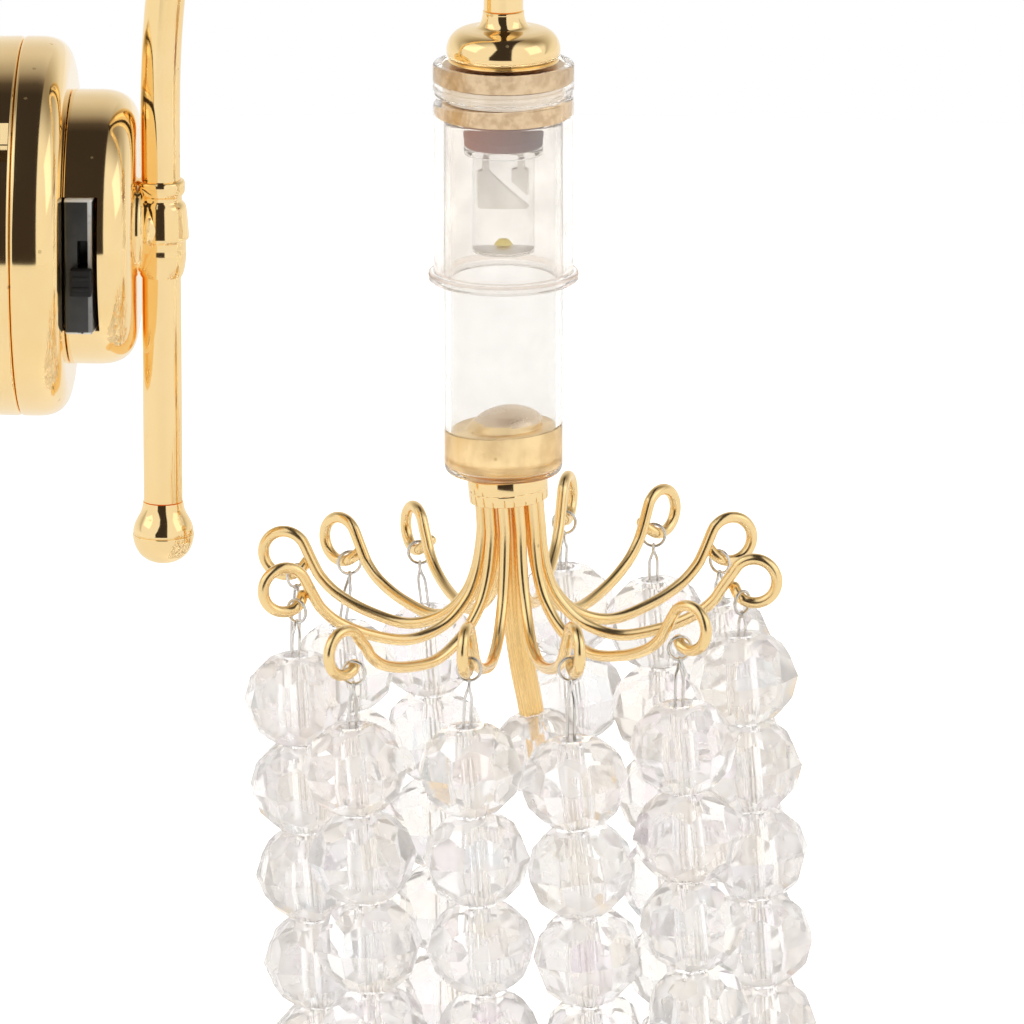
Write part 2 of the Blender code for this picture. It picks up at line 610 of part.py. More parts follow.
def first_bead_centres():
    """Centre of each strand's first bead; neighbours are pushed apart until they clear."""
    plan = []
    for arm in ARMS:
        centre, outward, _ = eye_frame(arm)
        spot = centre - outward * STRAND_IN
        plan.append(Vector((spot.x + STRAND_SHIFT_X, spot.y)))
    for _ in range(SPACING_PASSES):
        for i in range(len(plan)):
            j = (i + 1) % len(plan)
            gap = plan[j] - plan[i]
            shortfall = STRAND_MIN_SPACE - gap.length
            if shortfall > 0:
                push = gap.normalized() * (shortfall / 2)
                plan[i] = plan[i] - push
                plan[j] = plan[j] + push
    return [Vector((p.x, p.y, arm.eye_z - arm.strand_drop)) for p, arm in zip(plan, ARMS)]


def make_link(name, arm):
    """A round wire ring in the vertical plane across the arm."""
    centre = link_centre(arm)
    _, outward, tangent = eye_frame(arm)
    rings = []
    for k in range(LINK_STEPS):
        angle = 2 * math.pi * k / LINK_STEPS
        radial = tangent * math.cos(angle) + Vector((0, 0, math.sin(angle)))
        ring = []
        for j in range(LINK_WIRE_SEG):
            around = 2 * math.pi * j / LINK_WIRE_SEG
            ring.append(
                centre + radial * (LINK_R + LINK_WIRE_R * math.cos(around))
                + outward * (LINK_WIRE_R * math.sin(around)))
        rings.append(ring)
    add(name, skin(rings, closed=True), WIRE, WIRE_SMOOTH_DEG)


def make_strand(name, arm, head):
    """Thread, beads and tail as one bar, with its origin at the bottom of the link."""
    pivot = link_centre(arm) - Vector((0, 0, LINK_R))
    stations = [  # distance from the first bead's centre down the strand, radius
        (-BEAD_HALF - THREAD_BEND, THREAD_R),
        (-BEAD_HALF - BEAD_END_GAP, THREAD_R),
    ]
    for b in range(BEADS):
        stations += [(BEAD_PITCH * b + along, radius) for along, radius in BEAD_PROFILE]
    end = BEAD_PITCH * (BEADS - 1) + BEAD_HALF
    stations += [(end + BEAD_END_GAP, TAIL_R), (end + TAIL_LENGTH, TAIL_R)]
    spine = [pivot - Vector((0, 0, LINK_WIRE_R + THREAD_GAP))]
    spine += [head + STRAND_DIR * along for along, _ in stations]
    radii = [THREAD_TOP_R] + [radius for _, radius in stations]
    add(name, sweep(spine, radii, STRAND_SEG), GLASS, BEAD_SMOOTH_DEG, tuple(pivot))


def make_arms():
    for i, (arm, head) in enumerate(zip(ARMS, first_bead_centres())):
        number = "%02d" % (i + 1)
        path = arm_path(i)
        wire = sweep(path, [WIRE_R] * len(path), ARM_SEG)
        add("wire_arm_" + number, wire, GOLD, WIRE_SMOOTH_DEG)
        make_link("wire_ring_" + number, arm)
        make_strand("bead_strand_" + number, arm, head)


clear_scene()

GOLD = material("polished_gold", (0.93, 0.66, 0.28), roughness=0.08, metallic=1.0)
STEEL = material("cell_steel", (0.62, 0.62, 0.60), roughness=0.25, metallic=1.0)
BLACK = material("black_plastic", (0.025, 0.025, 0.03), roughness=0.35)
FOAM = material("white_foam", (0.85, 0.84, 0.80), roughness=0.90)
CLEAR = material("clear_plastic", (0.93, 0.91, 0.89), roughness=0.12, transmission=0.9)
GLASS = material("cut_bead", (0.97, 0.97, 0.98), roughness=0.02, transmission=0.95)
DARK = material("holder_rubber", (0.26, 0.16, 0.17), roughness=0.55)
LED_EPOXY = material("led_epoxy", (0.93, 0.93, 0.92), roughness=0.10, transmission=0.8)
WIRE = material("link_wire", (0.62, 0.61, 0.60), roughness=0.25, metallic=1.0)
LEAD = material("lead_insulation", (0.80, 0.78, 0.74), roughness=0.50)
GUIDE = material("guide", (1.0, 0.2, 0.2), roughness=0.5)

add("adhesive_pad", lathe([(0, 0), (PAD_R, 0), (PAD_R, PAD_T), (0, PAD_T)], DISC_SEG, "X"), FOAM)
make_rear_cover()
make_battery()
make_front_case()
make_switch_drum()
make_switch()
make_arm_boss()
make_arm_rod()
make_ball_finial()
make_cap()
make_led()
make_tubes()
make_hub()
make_stem()
make_arms()
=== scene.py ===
"""Looks of a miniature battery wall chandelier: surfaces, materials, soft studio and camera.

Lengths are millimetres in the frame of the CAD and become metres when a mesh is made. X runs
out from the foam pad through case, drum and rod to the lamp; the case and drum lie on the X axis.
Z is up, and the camera looks from -Y. Each fine piece stands for the CAD node of the same part
and rides on its body.
"""

import json
import math
import random

import bmesh
import bpy
from mathutils import Matrix, Vector

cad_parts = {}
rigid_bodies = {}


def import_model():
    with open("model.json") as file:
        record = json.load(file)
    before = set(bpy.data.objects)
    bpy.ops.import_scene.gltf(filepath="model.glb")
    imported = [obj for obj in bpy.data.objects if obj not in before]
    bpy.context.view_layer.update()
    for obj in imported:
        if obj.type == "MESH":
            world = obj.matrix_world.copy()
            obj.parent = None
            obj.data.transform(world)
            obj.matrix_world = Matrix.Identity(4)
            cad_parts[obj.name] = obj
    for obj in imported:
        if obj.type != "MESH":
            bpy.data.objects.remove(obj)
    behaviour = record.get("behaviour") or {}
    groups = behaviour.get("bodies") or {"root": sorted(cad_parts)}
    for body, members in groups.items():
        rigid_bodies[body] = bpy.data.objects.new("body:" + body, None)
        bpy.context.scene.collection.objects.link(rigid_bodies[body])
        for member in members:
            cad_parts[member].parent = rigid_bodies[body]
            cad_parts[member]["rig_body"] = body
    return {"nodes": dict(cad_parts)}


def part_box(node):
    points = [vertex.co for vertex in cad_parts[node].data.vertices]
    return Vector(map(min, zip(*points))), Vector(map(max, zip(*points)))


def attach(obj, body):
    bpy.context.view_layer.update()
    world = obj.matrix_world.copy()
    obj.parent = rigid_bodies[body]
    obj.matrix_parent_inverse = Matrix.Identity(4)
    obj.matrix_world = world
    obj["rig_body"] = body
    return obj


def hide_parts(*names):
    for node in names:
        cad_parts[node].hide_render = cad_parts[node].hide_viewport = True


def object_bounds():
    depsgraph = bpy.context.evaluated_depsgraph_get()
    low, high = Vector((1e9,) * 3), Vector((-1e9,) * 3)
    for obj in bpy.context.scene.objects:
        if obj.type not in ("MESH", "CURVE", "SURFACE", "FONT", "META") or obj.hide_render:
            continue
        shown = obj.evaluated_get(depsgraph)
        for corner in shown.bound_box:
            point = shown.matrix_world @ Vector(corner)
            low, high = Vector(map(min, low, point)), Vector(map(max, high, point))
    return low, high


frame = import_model()
CAD_LOW, CAD_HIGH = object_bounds()
MM = 0.001


def node_box(name):
    """The low and high corners of a CAD node, in millimetres."""
    low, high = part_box(name)
    return low / MM, high / MM


# ------------------------------------------------------------------ reference sizes and places
LAMP_X = sum(corner.x for corner in node_box("bell_cap")) / 2
ROD_X = sum(corner.x for corner in node_box("ball_finial")) / 2
PAD_LOW, PAD_HIGH = node_box("adhesive_pad")
COVER_LOW, COVER_HIGH = node_box("rear_cover")
CASE_LOW, CASE_HIGH = node_box("front_case")
CELL_LOW, CELL_HIGH = node_box("battery_cell")
PLATE_LOW, PLATE_HIGH = node_box("contact_plate")
DRUM_LOW, DRUM_HIGH = node_box("switch_drum")
SWITCH_LOW, SWITCH_HIGH = node_box("switch_body")
KNOB_LOW, KNOB_HIGH = node_box("switch_knob")
SLEEVE_LOW, SLEEVE_HIGH = node_box("upper_sleeve")
TUBE_LOW, TUBE_HIGH = node_box("lower_tube")
RING_LOW, RING_HIGH = node_box("cap_ring")
LED_LOW, LED_HIGH = node_box("led")
CASE_R = CASE_HIGH.z
DRUM_R = DRUM_HIGH.z
DRUM_FACE = DRUM_HIGH.x
ROD_R = 0.95
WIRE_R = 0.28

# lathe lines: the axis a piece is turned on, and the x of that line if it is upright
ORIGIN_LINE = ("Z", 0.0)
WALL_LINE = ("X", 0.0)
ROD_LINE = ("Z", ROD_X)
LAMP_LINE = ("Z", LAMP_X)


# ------------------------------------------------------------------------------- mesh helpers
def shade(mesh, angle):
    """Smooth shading with edges sharper than the angle, in degrees, kept sharp."""
    mesh.shade_smooth()
    mesh.set_sharp_from_angle(angle=math.radians(angle))


def link_object(name, mesh):
    item = bpy.data.objects.new(name, mesh)
    bpy.context.scene.collection.objects.link(item)
    return item


def from_bmesh(name, shape, material, smooth=30.0, mesh=None):
    """A named object from a bmesh in millimetres, its normals turned out."""
    bmesh.ops.recalc_face_normals(shape, faces=shape.faces[:])
    shape.transform(Matrix.Scale(MM, 4))
    mesh = mesh or bpy.data.meshes.new(name)
    shape.to_mesh(mesh)
    shape.free()
    mesh.materials.append(material)
    shade(mesh, smooth)
    return link_object(name, mesh)


def build(name, verts, faces, material, smooth=30.0, weld=2e-4):
    """A named object from points in millimetres, with near points welded."""
    mesh = bpy.data.meshes.new(name)
    mesh.from_pydata([tuple(vert) for vert in verts], [], [tuple(face) for face in faces])
    shape = bmesh.new()
    shape.from_mesh(mesh)
    if weld:
        bmesh.ops.remove_doubles(shape, verts=shape.verts[:], dist=weld)
    return from_bmesh(name, shape, material, smooth, mesh)


def rides_with(item, node):
    """The piece rides on the body of a CAD node."""
    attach(item, frame["nodes"][node]["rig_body"])


def stands_for(item, node):
    """The piece replaces a CAD node and rides on its body."""
    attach(item, frame["nodes"][node]["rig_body"])
    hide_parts(node)


def rounded(points, steps=4):
    """Fillets a closed outline of (radius, height), each with its own fillet or 0.06."""
    outline = []
    for i, (x, y, *own) in enumerate(points):
        corner = Vector((x, y))
        fillet = own[0] if own else 0.06
        to_last = Vector(points[i - 1][:2]) - corner
        to_next = Vector(points[(i + 1) % len(points)][:2]) - corner
        last_length, next_length = to_last.length, to_next.length
        if corner.x < 1e-9 or fillet <= 0 or min(last_length, next_length) < 1e-6:
            outline.append((corner.x, corner.y))
            continue
        to_last, to_next = to_last / last_length, to_next / next_length
        half = to_last.angle(to_next) / 2
        if half > math.radians(86):
            outline.append((corner.x, corner.y))
            continue
        # a large fillet may use up more of its neighbouring sides
        reach = 0.84 if fillet > 1.3 else 0.46
        cut = min(fillet / math.tan(half), reach * last_length, reach * next_length)
        start, end = corner + to_last * cut, corner + to_next * cut
        for k in range(steps + 1):
            t = k / steps
            point = start * (1 - t) ** 2 + corner * 2 * t * (1 - t) + end * t * t
            outline.append((point.x, point.y))
    return outline


def lathe_data(profile, segments, line=ORIGIN_LINE):
    """Turns a closed (radius, height) profile round a lathe line."""
    verts, faces, rows = [], [], []
    for radius, height in profile:
        start = len(verts)
        if radius < 1e-9:
            verts.append((0.0, 0.0, height))
        else:
            for k in range(segments):
                angle = 2 * math.pi * k / segments
                verts.append((radius * math.cos(angle), radius * math.sin(angle), height))
        rows.append(range(start, len(verts)))
    for i, this in enumerate(rows):
        after = rows[(i + 1) % len(rows)]
        if len(this) == 1 and len(after) == 1:
            continue
        for k in range(segments):
            k2 = (k + 1) % segments
            if len(this) == 1:
                faces.append((this[0], after[k2], after[k]))
            elif len(after) == 1:
                faces.append((this[k], this[k2], after[0]))
            else:
                faces.append((this[k], this[k2], after[k2], after[k]))
    axis, offset = line
    if axis == "X":
        return [(z, y, -x) for x, y, z in verts], faces
    return [(x + offset, y, z) for x, y, z in verts], faces


def lathe(name, profile, material, line=LAMP_LINE, segments=96, smooth=30.0, bend=None):
    verts, faces = lathe_data(profile, segments, line)
    if bend:
        verts = [bend(Vector(vert)) for vert in verts]
    return build(name, verts, faces, material, smooth)


def catmull(points, per_span):
    """A Catmull-Rom curve through the points."""
    points = [Vector(point) for point in points]
    points = [points[0] * 2 - points[1]] + points + [points[-1] * 2 - points[-2]]
    curve = []
    for p0, p1, p2, p3 in zip(points, points[1:], points[2:], points[3:]):
        for step in range(per_span):
            t = step / per_span
            curve.append(0.5 * ((2 * p1) + (p2 - p0) * t + (2 * p0 - 5 * p1 + 4 * p2 - p3) * t * t
                                + (3 * p1 - p0 - 3 * p2 + p3) * t ** 3))
    curve.append(points[-2])
    return curve


def smooth_profile(points, per_span=4):
    """A smooth (radius, height) profile through the points."""
    curve = catmull([(radius, height, 0.0) for radius, height in points], per_span)
    return [(max(0.0, point.x), point.y) for point in curve]


def bezier(p0, p1, p2, p3, steps):
    """A cubic curve in the plane y = 0 from (x, z) points, without its last point."""
    p0, p1, p2, p3 = (Vector((x, 0, z)) for x, z in (p0, p1, p2, p3))
    return [p0 * (1 - t) ** 3 + p1 * 3 * t * (1 - t) ** 2 + p2 * 3 * t * t * (1 - t) + p3 * t ** 3
            for t in (i / steps for i in range(steps))]


def ring_faces(rows, count, wrap=False, caps=True):
    """Quads between rows of points in rings, closed into a loop or capped at both ends."""
    faces = []
    for i in range(rows if wrap else rows - 1):
        j = (i + 1) % rows
        for k in range(count):
            k2 = (k + 1) % count
            faces.append((i * count + k, i * count + k2, j * count + k2, j * count + k))
    if caps and not wrap:
        faces.append(tuple(range(count))[::-1])
        faces.append(tuple(range((rows - 1) * count, rows * count)))
    return faces


def dome(station, sign):
    """Stations that close a bar with a dome, ahead of the end (1) or behind it (-1)."""
    point, radius, along = station
    steps = 4
    stations = []
    for k in range(1, steps + 1):
        angle = math.radians(84.0 * k / steps)
        offset = along * (sign * radius) * math.sin(angle)
        stations.append((point + offset, radius * math.cos(angle), along))
    return stations


def sweep_data(points, radii, segments, round_start=False, round_end=False, closed=False):
    """A round bar along a path. Radii are one number or one for each point."""
    points = [Vector(point) for point in points]
    count = len(points)
    if not hasattr(radii, "__len__"):
        radii = [radii] * count
    stations = []
    for i, (point, radius) in enumerate(zip(points, radii)):
        if closed:
            along = points[(i + 1) % count] - points[i - 1]
        else:
            along = points[min(i + 1, count - 1)] - points[max(i - 1, 0)]
        stations.append((point, radius, along.normalized()))
    if round_start:
        stations = dome(stations[0], -1)[::-1] + stations
    if round_end:
        stations += dome(stations[-1], 1)
    first_along = stations[0][2]
    side = Vector((0, 1, 0)) if abs(first_along.y) < 0.9 else Vector((1, 0, 0))
    normal = (side - first_along * side.dot(first_along)).normalized()
    frames = []
    for _, _, along in stations:
        normal = (normal - along * normal.dot(along)).normalized()
        frames.append((normal.copy(), along.cross(normal)))
    if closed:  # undo the twist that builds up round a loop
        last = (normal - first_along * normal.dot(first_along)).normalized()
        twist = math.atan2(last.dot(frames[0][1]), last.dot(frames[0][0]))
        fixed = []
        for i, (one, two) in enumerate(frames):
            turn = -twist * i / len(frames)
            fixed.append((one * math.cos(turn) + two * math.sin(turn),
                          two * math.cos(turn) - one * math.sin(turn)))
        frames = fixed
    verts = []
    for (point, radius, _), (one, two) in zip(stations, frames):
        for k in range(segments):
            angle = 2 * math.pi * k / segments
            verts.append(point + (one * math.cos(angle) + two * math.sin(angle)) * radius)
    return verts, ring_faces(len(stations), segments, wrap=closed)


def bar(name, points, radii, segments, material, round_end=False, closed=False):
    data = sweep_data(points, radii, segments, round_end=round_end, closed=closed)
    return build(name, *data, material)


def join_data(parts):
    verts, faces = [], []
    for part_verts, part_faces in parts:
        base = len(verts)
        verts += part_verts
        faces += [tuple(i + base for i in face) for face in part_faces]
    return verts, faces


def box_bmesh(low, high, bevel=0.0, steps=4):
    shape = bmesh.new()
    bmesh.ops.create_cube(shape, size=1.0)
    low, high = Vector(low), Vector(high)
    for vert in shape.verts:
        vert.co = Vector(((vert.co[k] + 0.5) * (high[k] - low[k]) + low[k] for k in range(3)))
    if bevel:
        bmesh.ops.bevel(shape, geom=shape.edges[:] + shape.verts[:], offset=bevel,
                        segments=steps, affect="EDGES", profile=0.5)
    return shape


def box(name, low, high, material, bevel=0.0, steps=4):
    return from_bmesh(name, box_bmesh(low, high, bevel, steps), material)


def boolean_mesh(item, other, operation):
    """A new mesh that is the exact Boolean of two objects."""
    modifier = item.modifiers.new("cut", "BOOLEAN")
    modifier.operation, modifier.solver, modifier.object = operation, "EXACT", other
    bpy.context.view_layer.update()
    depsgraph = bpy.context.evaluated_depsgraph_get()
    return bpy.data.meshes.new_from_object(item.evaluated_get(depsgraph))


def boolean(item, other, operation, smooth=30.0):
    """Applies a Boolean to the item, then removes the other object."""
    mesh = boolean_mesh(item, other, operation)
    item.modifiers.clear()
    old = item.data
    item.data = mesh
    mesh.name = old.name
    bpy.data.meshes.remove(old)
    bpy.data.objects.remove(other)
    shape = bmesh.new()
    shape.from_mesh(mesh)
    bmesh.ops.remove_doubles(shape, verts=shape.verts[:], dist=1e-8)
    bmesh.ops.dissolve_degenerate(shape, edges=shape.edges[:], dist=1e-8)
    shape.to_mesh(mesh)
    shape.free()
    shade(mesh, smooth)


# ----------------------------------------------------------------------------- shader helpers
class Graph:
    """Builds the node tree of a material or world. Sockets and numbers mix freely as inputs."""

    def __init__(self, owner):
        owner.use_nodes = True
        self.owner = owner
        self.tree = owner.node_tree
        self.tree.nodes.clear()
        self.place = None

    def node(self, kind, **properties):
        node = self.tree.nodes.new(kind)
        for key, value in properties.items():
            setattr(node, key, value)
        return node

    def put(self, socket, value):
        if isinstance(value, bpy.types.NodeSocket):
            self.tree.links.new(value, socket)
        elif isinstance(value, tuple):
            is_colour = len(value) == 3 and len(socket.default_value) == 4
            socket.default_value = (*value, 1.0) if is_colour else value
        else:
            socket.default_value = value

    def math(self, operation, *values, clamp=False):
        node = self.node("ShaderNodeMath", operation=operation, use_clamp=clamp)
        for socket, value in zip(node.inputs, values):
            self.put(socket, value)
        return node.outputs[0]

    def mul(self, first, second):
        return self.math("MULTIPLY", first, second)

    def add(self, total, *rest):
        for value in rest:
            total = self.math("ADD", total, value)
        return total

    def ramp(self, value, over, to=(0.0, 1.0), smooth=True):
        """Maps the range `over` to the range `to`, clamped."""
        kind = "SMOOTHSTEP" if smooth else "LINEAR"
        node = self.node("ShaderNodeMapRange", interpolation_type=kind, clamp=True)
        for socket, number in zip(node.inputs, (value, *over, *to)):
            self.put(socket, number)
        return node.outputs[0]

    def ramp_mm(self, value, over, **options):
        """A ramp over a range of object coordinates given in millimetres."""
        return self.ramp(value, (over[0] * MM, over[1] * MM), **options)

    def colour_ramp(self, factor, stops):
        """A colour ramp from (position, colour) stops."""
        node = self.node("ShaderNodeValToRGB")
        self.put(node.inputs[0], factor)
        elements = node.color_ramp.elements
        for i in (0, -1):
            position, colour = stops[i]
            elements[i].position, elements[i].color = position, (*colour, 1)
        for position, colour in stops[1:-1]:
            elements.new(position).color = (*colour, 1)
        return node.outputs[0]

    def mix(self, factor, first, second, kind="RGBA"):
        node = self.node("ShaderNodeMix", data_type=kind)
        start, output = (6, 2) if kind == "RGBA" else (2, 0)
        self.put(node.inputs[0], factor)
        self.put(node.inputs[start], first)
        self.put(node.inputs[start + 1], second)
        return node.outputs[output]

    def mix_shader(self, factor, first, second):
        node = self.node("ShaderNodeMixShader")
        for socket, value in zip(node.inputs, (factor, first, second)):
            self.put(socket, value)
        return node.outputs[0]

    def coords(self, scale=(1.0, 1.0, 1.0), rotation=(0.0, 0.0, 0.0)):
        node = self.node("ShaderNodeMapping")
        self.put(node.inputs["Vector"], self.node("ShaderNodeTexCoord").outputs["Object"])
        self.put(node.inputs["Scale"], scale)
        self.put(node.inputs["Rotation"], rotation)
        return node.outputs[0]

    def xyz(self, source="Object"):
        node = self.node("ShaderNodeSeparateXYZ")
        self.put(node.inputs[0], self.node("ShaderNodeTexCoord").outputs[source])
        return node.outputs

    def noise(self, scale, detail=2.0, rough=0.5, gain=None, coords=None):
        """Noise in the plain object coordinates or in `coords`, times a gain if there is one."""
        node = self.node("ShaderNodeTexNoise")
        self.put(node.inputs["Vector"], coords or self.place)
        self.put(node.inputs["Scale"], scale)
        self.put(node.inputs["Detail"], detail)
        self.put(node.inputs["Roughness"], rough)
        output = node.outputs["Fac"]
        return output if gain is None else self.mul(output, gain)

    def cells(self, scale):
        """Distance to the nearest point of a random scatter."""
        node = self.node("ShaderNodeTexVoronoi")
        self.put(node.inputs["Vector"], self.place)
        self.put(node.inputs["Scale"], scale)
        return node.outputs["Distance"]

    def mottle(self, first, second, over, **noise):
        """Two colours mixed in patches of noise."""
        return self.mix(self.ramp(self.noise(**noise), over), first, second)

    def moulded_grain(self):
        return self.add(self.noise(7000.0, detail=3.0, rough=0.6),
                        self.noise(1200.0, detail=2.0, gain=1.5))

    def bump(self, height, distance):
        node = self.node("ShaderNodeBump")
        self.put(node.inputs["Height"], height)
        self.put(node.inputs["Distance"], distance)
        self.put(node.inputs["Strength"], 1.0)
        return node.outputs[0]

    def principled(self, **values):
        node = self.node("ShaderNodeBsdfPrincipled")
        for key, value in values.items():
            self.put(node.inputs[key.replace("_", " ")], value)
        return node.outputs[0]

    def finish(self, shader, output="ShaderNodeOutputMaterial"):
        self.put(self.node(output).inputs["Surface"], shader)
        return self.owner


def material_graph(name):
    graph = Graph(bpy.data.materials.new(name))
    graph.place = graph.coords()
    return graph


# ---------------------------------------------------------------------------------- materials
def gold_material(name, rough, rough_var, wave=1.0, pits=0.0, tone=(0.970, 0.735, 0.385),
                  deep=(0.955, 0.705, 0.345), drift_scale=260.0):
    """Gold plate: slow colour drift, slight orange peel, fine scratches and a few specks."""
    graph = material_graph(name)
    colour = graph.mottle(tone, deep, over=(0.35, 0.68), scale=drift_scale, detail=3.0, rough=0.55)
    specks = graph.ramp(graph.cells(620.0), over=(0.045, 0.075), to=(1.0, 0.0))
    colour = graph.mix(graph.mul(specks, 0.35), colour, (0.42, 0.25, 0.10))
    smear = graph.noise(900.0, detail=4.0, rough=0.6, gain=rough_var)
    roughness = graph.math("ADD", graph.add(smear, rough), graph.mul(specks, 0.25), clamp=True)
    streaked = graph.coords(scale=(1.0, 1.0, 14.0), rotation=(0.5, 0.35, 0.2))
    height = graph.add(
        graph.noise(420.0, detail=2.0, rough=0.45, gain=5.0 * wave),
        graph.noise(5200.0, detail=3.0, rough=0.6, gain=0.22 * wave),
        graph.noise(2600.0, detail=2.0, gain=0.10, coords=streaked))
    if pits:
        fine_pits = graph.ramp(graph.noise(3400.0, detail=3.0, rough=0.6), over=(0.42, 0.66))
        height = graph.add(height, graph.mul(fine_pits, pits),
                           graph.noise(1500.0, detail=2.0, gain=pits * 1.5))
    return graph.finish(graph.principled(
        Base_Color=colour, Metallic=1.0, Roughness=roughness, Normal=graph.bump(height, 1.0e-6)))


def steel_material(name, base, dark, rough):
    """Metal brushed along fine lines."""
    graph = material_graph(name)
    line = graph.noise(2200.0, detail=4.0, rough=0.6, coords=graph.coords((1.0, 1.0, 12.0)))
    return graph.finish(graph.principled(
        Base_Color=graph.mottle(base, dark, over=(0.35, 0.7), scale=700.0, detail=3.0),
        Metallic=1.0, Roughness=graph.add(graph.mul(line, 0.16), rough),
        Normal=graph.bump(line, 0.9e-6)))


def black_plastic(name, base, rough, specular, grain=1.0):
    graph = material_graph(name)
    lighter = tuple(channel * 1.45 for channel in base)
    return graph.finish(graph.principled(
        Base_Color=graph.mottle(base, lighter, over=(0.3, 0.75), scale=900.0, detail=4.0, rough=0.6),
        Roughness=graph.add(graph.noise(3000.0, detail=3.0, gain=0.12), rough),
        Specular_IOR_Level=specular, Normal=graph.bump(graph.moulded_grain(), 0.9e-6 * grain)))


def switch_plastic():
    """Slate moulding with painted highlights: a pale band near its +X side and pale edges at its top
    and bottom.
    """
    graph = material_graph("black_plastic_moulded")
    x, _, z = graph.xyz()
    right, bottom, top = SWITCH_HIGH.x, SWITCH_LOW.z, SWITCH_HIGH.z
    # one noise varies the gloss and breaks up the painted highlights
    gloss_and_highlight_noise = graph.noise(2600.0, detail=4.0, rough=0.6)
    # painted highlight: a narrow pale band on the face just inside the +X edge, fainter lower down
    highlight_stripe = graph.mul(graph.ramp_mm(x, (right - 0.44, right - 0.40), smooth=False),
                       graph.ramp_mm(x, (right - 0.20, right - 0.24), smooth=False))
    highlight_stripe = graph.mul(highlight_stripe, graph.ramp_mm(z, (bottom + 0.3, top - 0.2), to=(0.35, 1.0)))
    # painted highlights: a pale band along the top edge and broken glints along the bottom edge
    top_highlight = graph.mul(graph.ramp_mm(z, (top - 0.16, top - 0.08)), 1.0)
    bottom_glints = graph.mul(graph.ramp_mm(z, (bottom + 0.15, bottom + 0.07)),
                            graph.ramp(gloss_and_highlight_noise, over=(0.40, 0.50)))
    tone = graph.mottle((0.030, 0.031, 0.031), (0.046, 0.047, 0.046), over=(0.3, 0.75),
                        scale=900.0, detail=4.0, rough=0.6)
    stripe_highlight_break = graph.ramp(gloss_and_highlight_noise, over=(0.2, 0.5), to=(0.75, 1.0))
    # the painted highlights are laid over the slate
    tone = graph.mix(graph.mul(highlight_stripe, stripe_highlight_break), tone, (0.66, 0.66, 0.64))
    tone = graph.mix(graph.math("MAXIMUM", top_highlight, bottom_glints), tone, (0.85, 0.84, 0.80))
    return graph.finish(graph.principled(
        Base_Color=tone, Roughness=graph.add(graph.mul(gloss_and_highlight_noise, 0.2), 0.22),
        Specular_IOR_Level=0.5, Normal=graph.bump(graph.moulded_grain(), 0.9e-6)))


def foam_material():
    graph = material_graph("foam_white_cells")
    cells = graph.cells(5200.0)
    # painted shade: the pits of the cells, where the bump sinks, are coloured darker
    colour = graph.mix(graph.ramp(cells, over=(0.1, 0.6)), (0.70, 0.69, 0.65), (0.90, 0.89, 0.86))
    height = graph.add(graph.mul(cells, 1.0), graph.noise(1500.0, detail=3.0, gain=0.5))
    return graph.finish(graph.principled(
        Base_Color=colour, Roughness=0.92, Normal=graph.bump(height, 45e-6)))


def clear_plastic(name, tint, haze, rough, ior, streak=1.0, below=None, lip=None):
    """Moulded clear plastic with vertical flow streaks, some milkiness and uneven gloss.

    `below` tints the lower part; `lip` is the z range of a milkier band tinted orange.
    """
    graph = material_graph(name)
    flow = graph.noise(1500.0, detail=3.0, rough=0.55, gain=3.0 * streak,
                       coords=graph.coords((1.0, 1.0, 0.06)))
    cloud = graph.noise(420.0, detail=3.0, rough=0.6)
    spots = graph.ramp(graph.cells(900.0), over=(0.03, 0.06), to=(1.0, 0.0))
    roughness = graph.add(graph.noise(1400.0, detail=3.0, gain=0.05), rough, graph.mul(spots, 0.2))
    darker = tuple(channel * 0.985 for channel in tint)
    colour = graph.mix(graph.ramp(cloud, over=(0.35, 0.7)), tint, darker)
    if below:
        z = graph.xyz()[2]
        colour = graph.mix(graph.ramp_mm(z, (-1.2, -2.6)), colour, below)
    height = graph.add(flow, graph.mul(cloud, 5.0 * streak))
    clear = graph.principled(Base_Color=colour, Roughness=roughness, IOR=ior,
                             Transmission_Weight=1.0, Normal=graph.bump(height, 1.0e-6))
    milk = graph.node("ShaderNodeBsdfTranslucent")
    milk_colour = (1.0, 0.985, 0.965)
    graph.put(milk.inputs["Color"], milk_colour)
    veil = graph.mul(graph.ramp(cloud, over=(0.3, 0.75), to=(0.6, 1.4)), haze)
    if lip:
        bottom, top = lip
        band = graph.mul(graph.ramp_mm(z, (bottom, bottom + 0.05)),
                         graph.ramp_mm(z, (top + 0.05, top)))
        veil = graph.add(veil, graph.mul(band, 0.34))
        graph.put(milk.inputs["Color"], graph.mix(band, milk_colour, (1.0, 0.80, 0.66)))
    return graph.finish(graph.mix_shader(veil, clear, milk.outputs[0]))


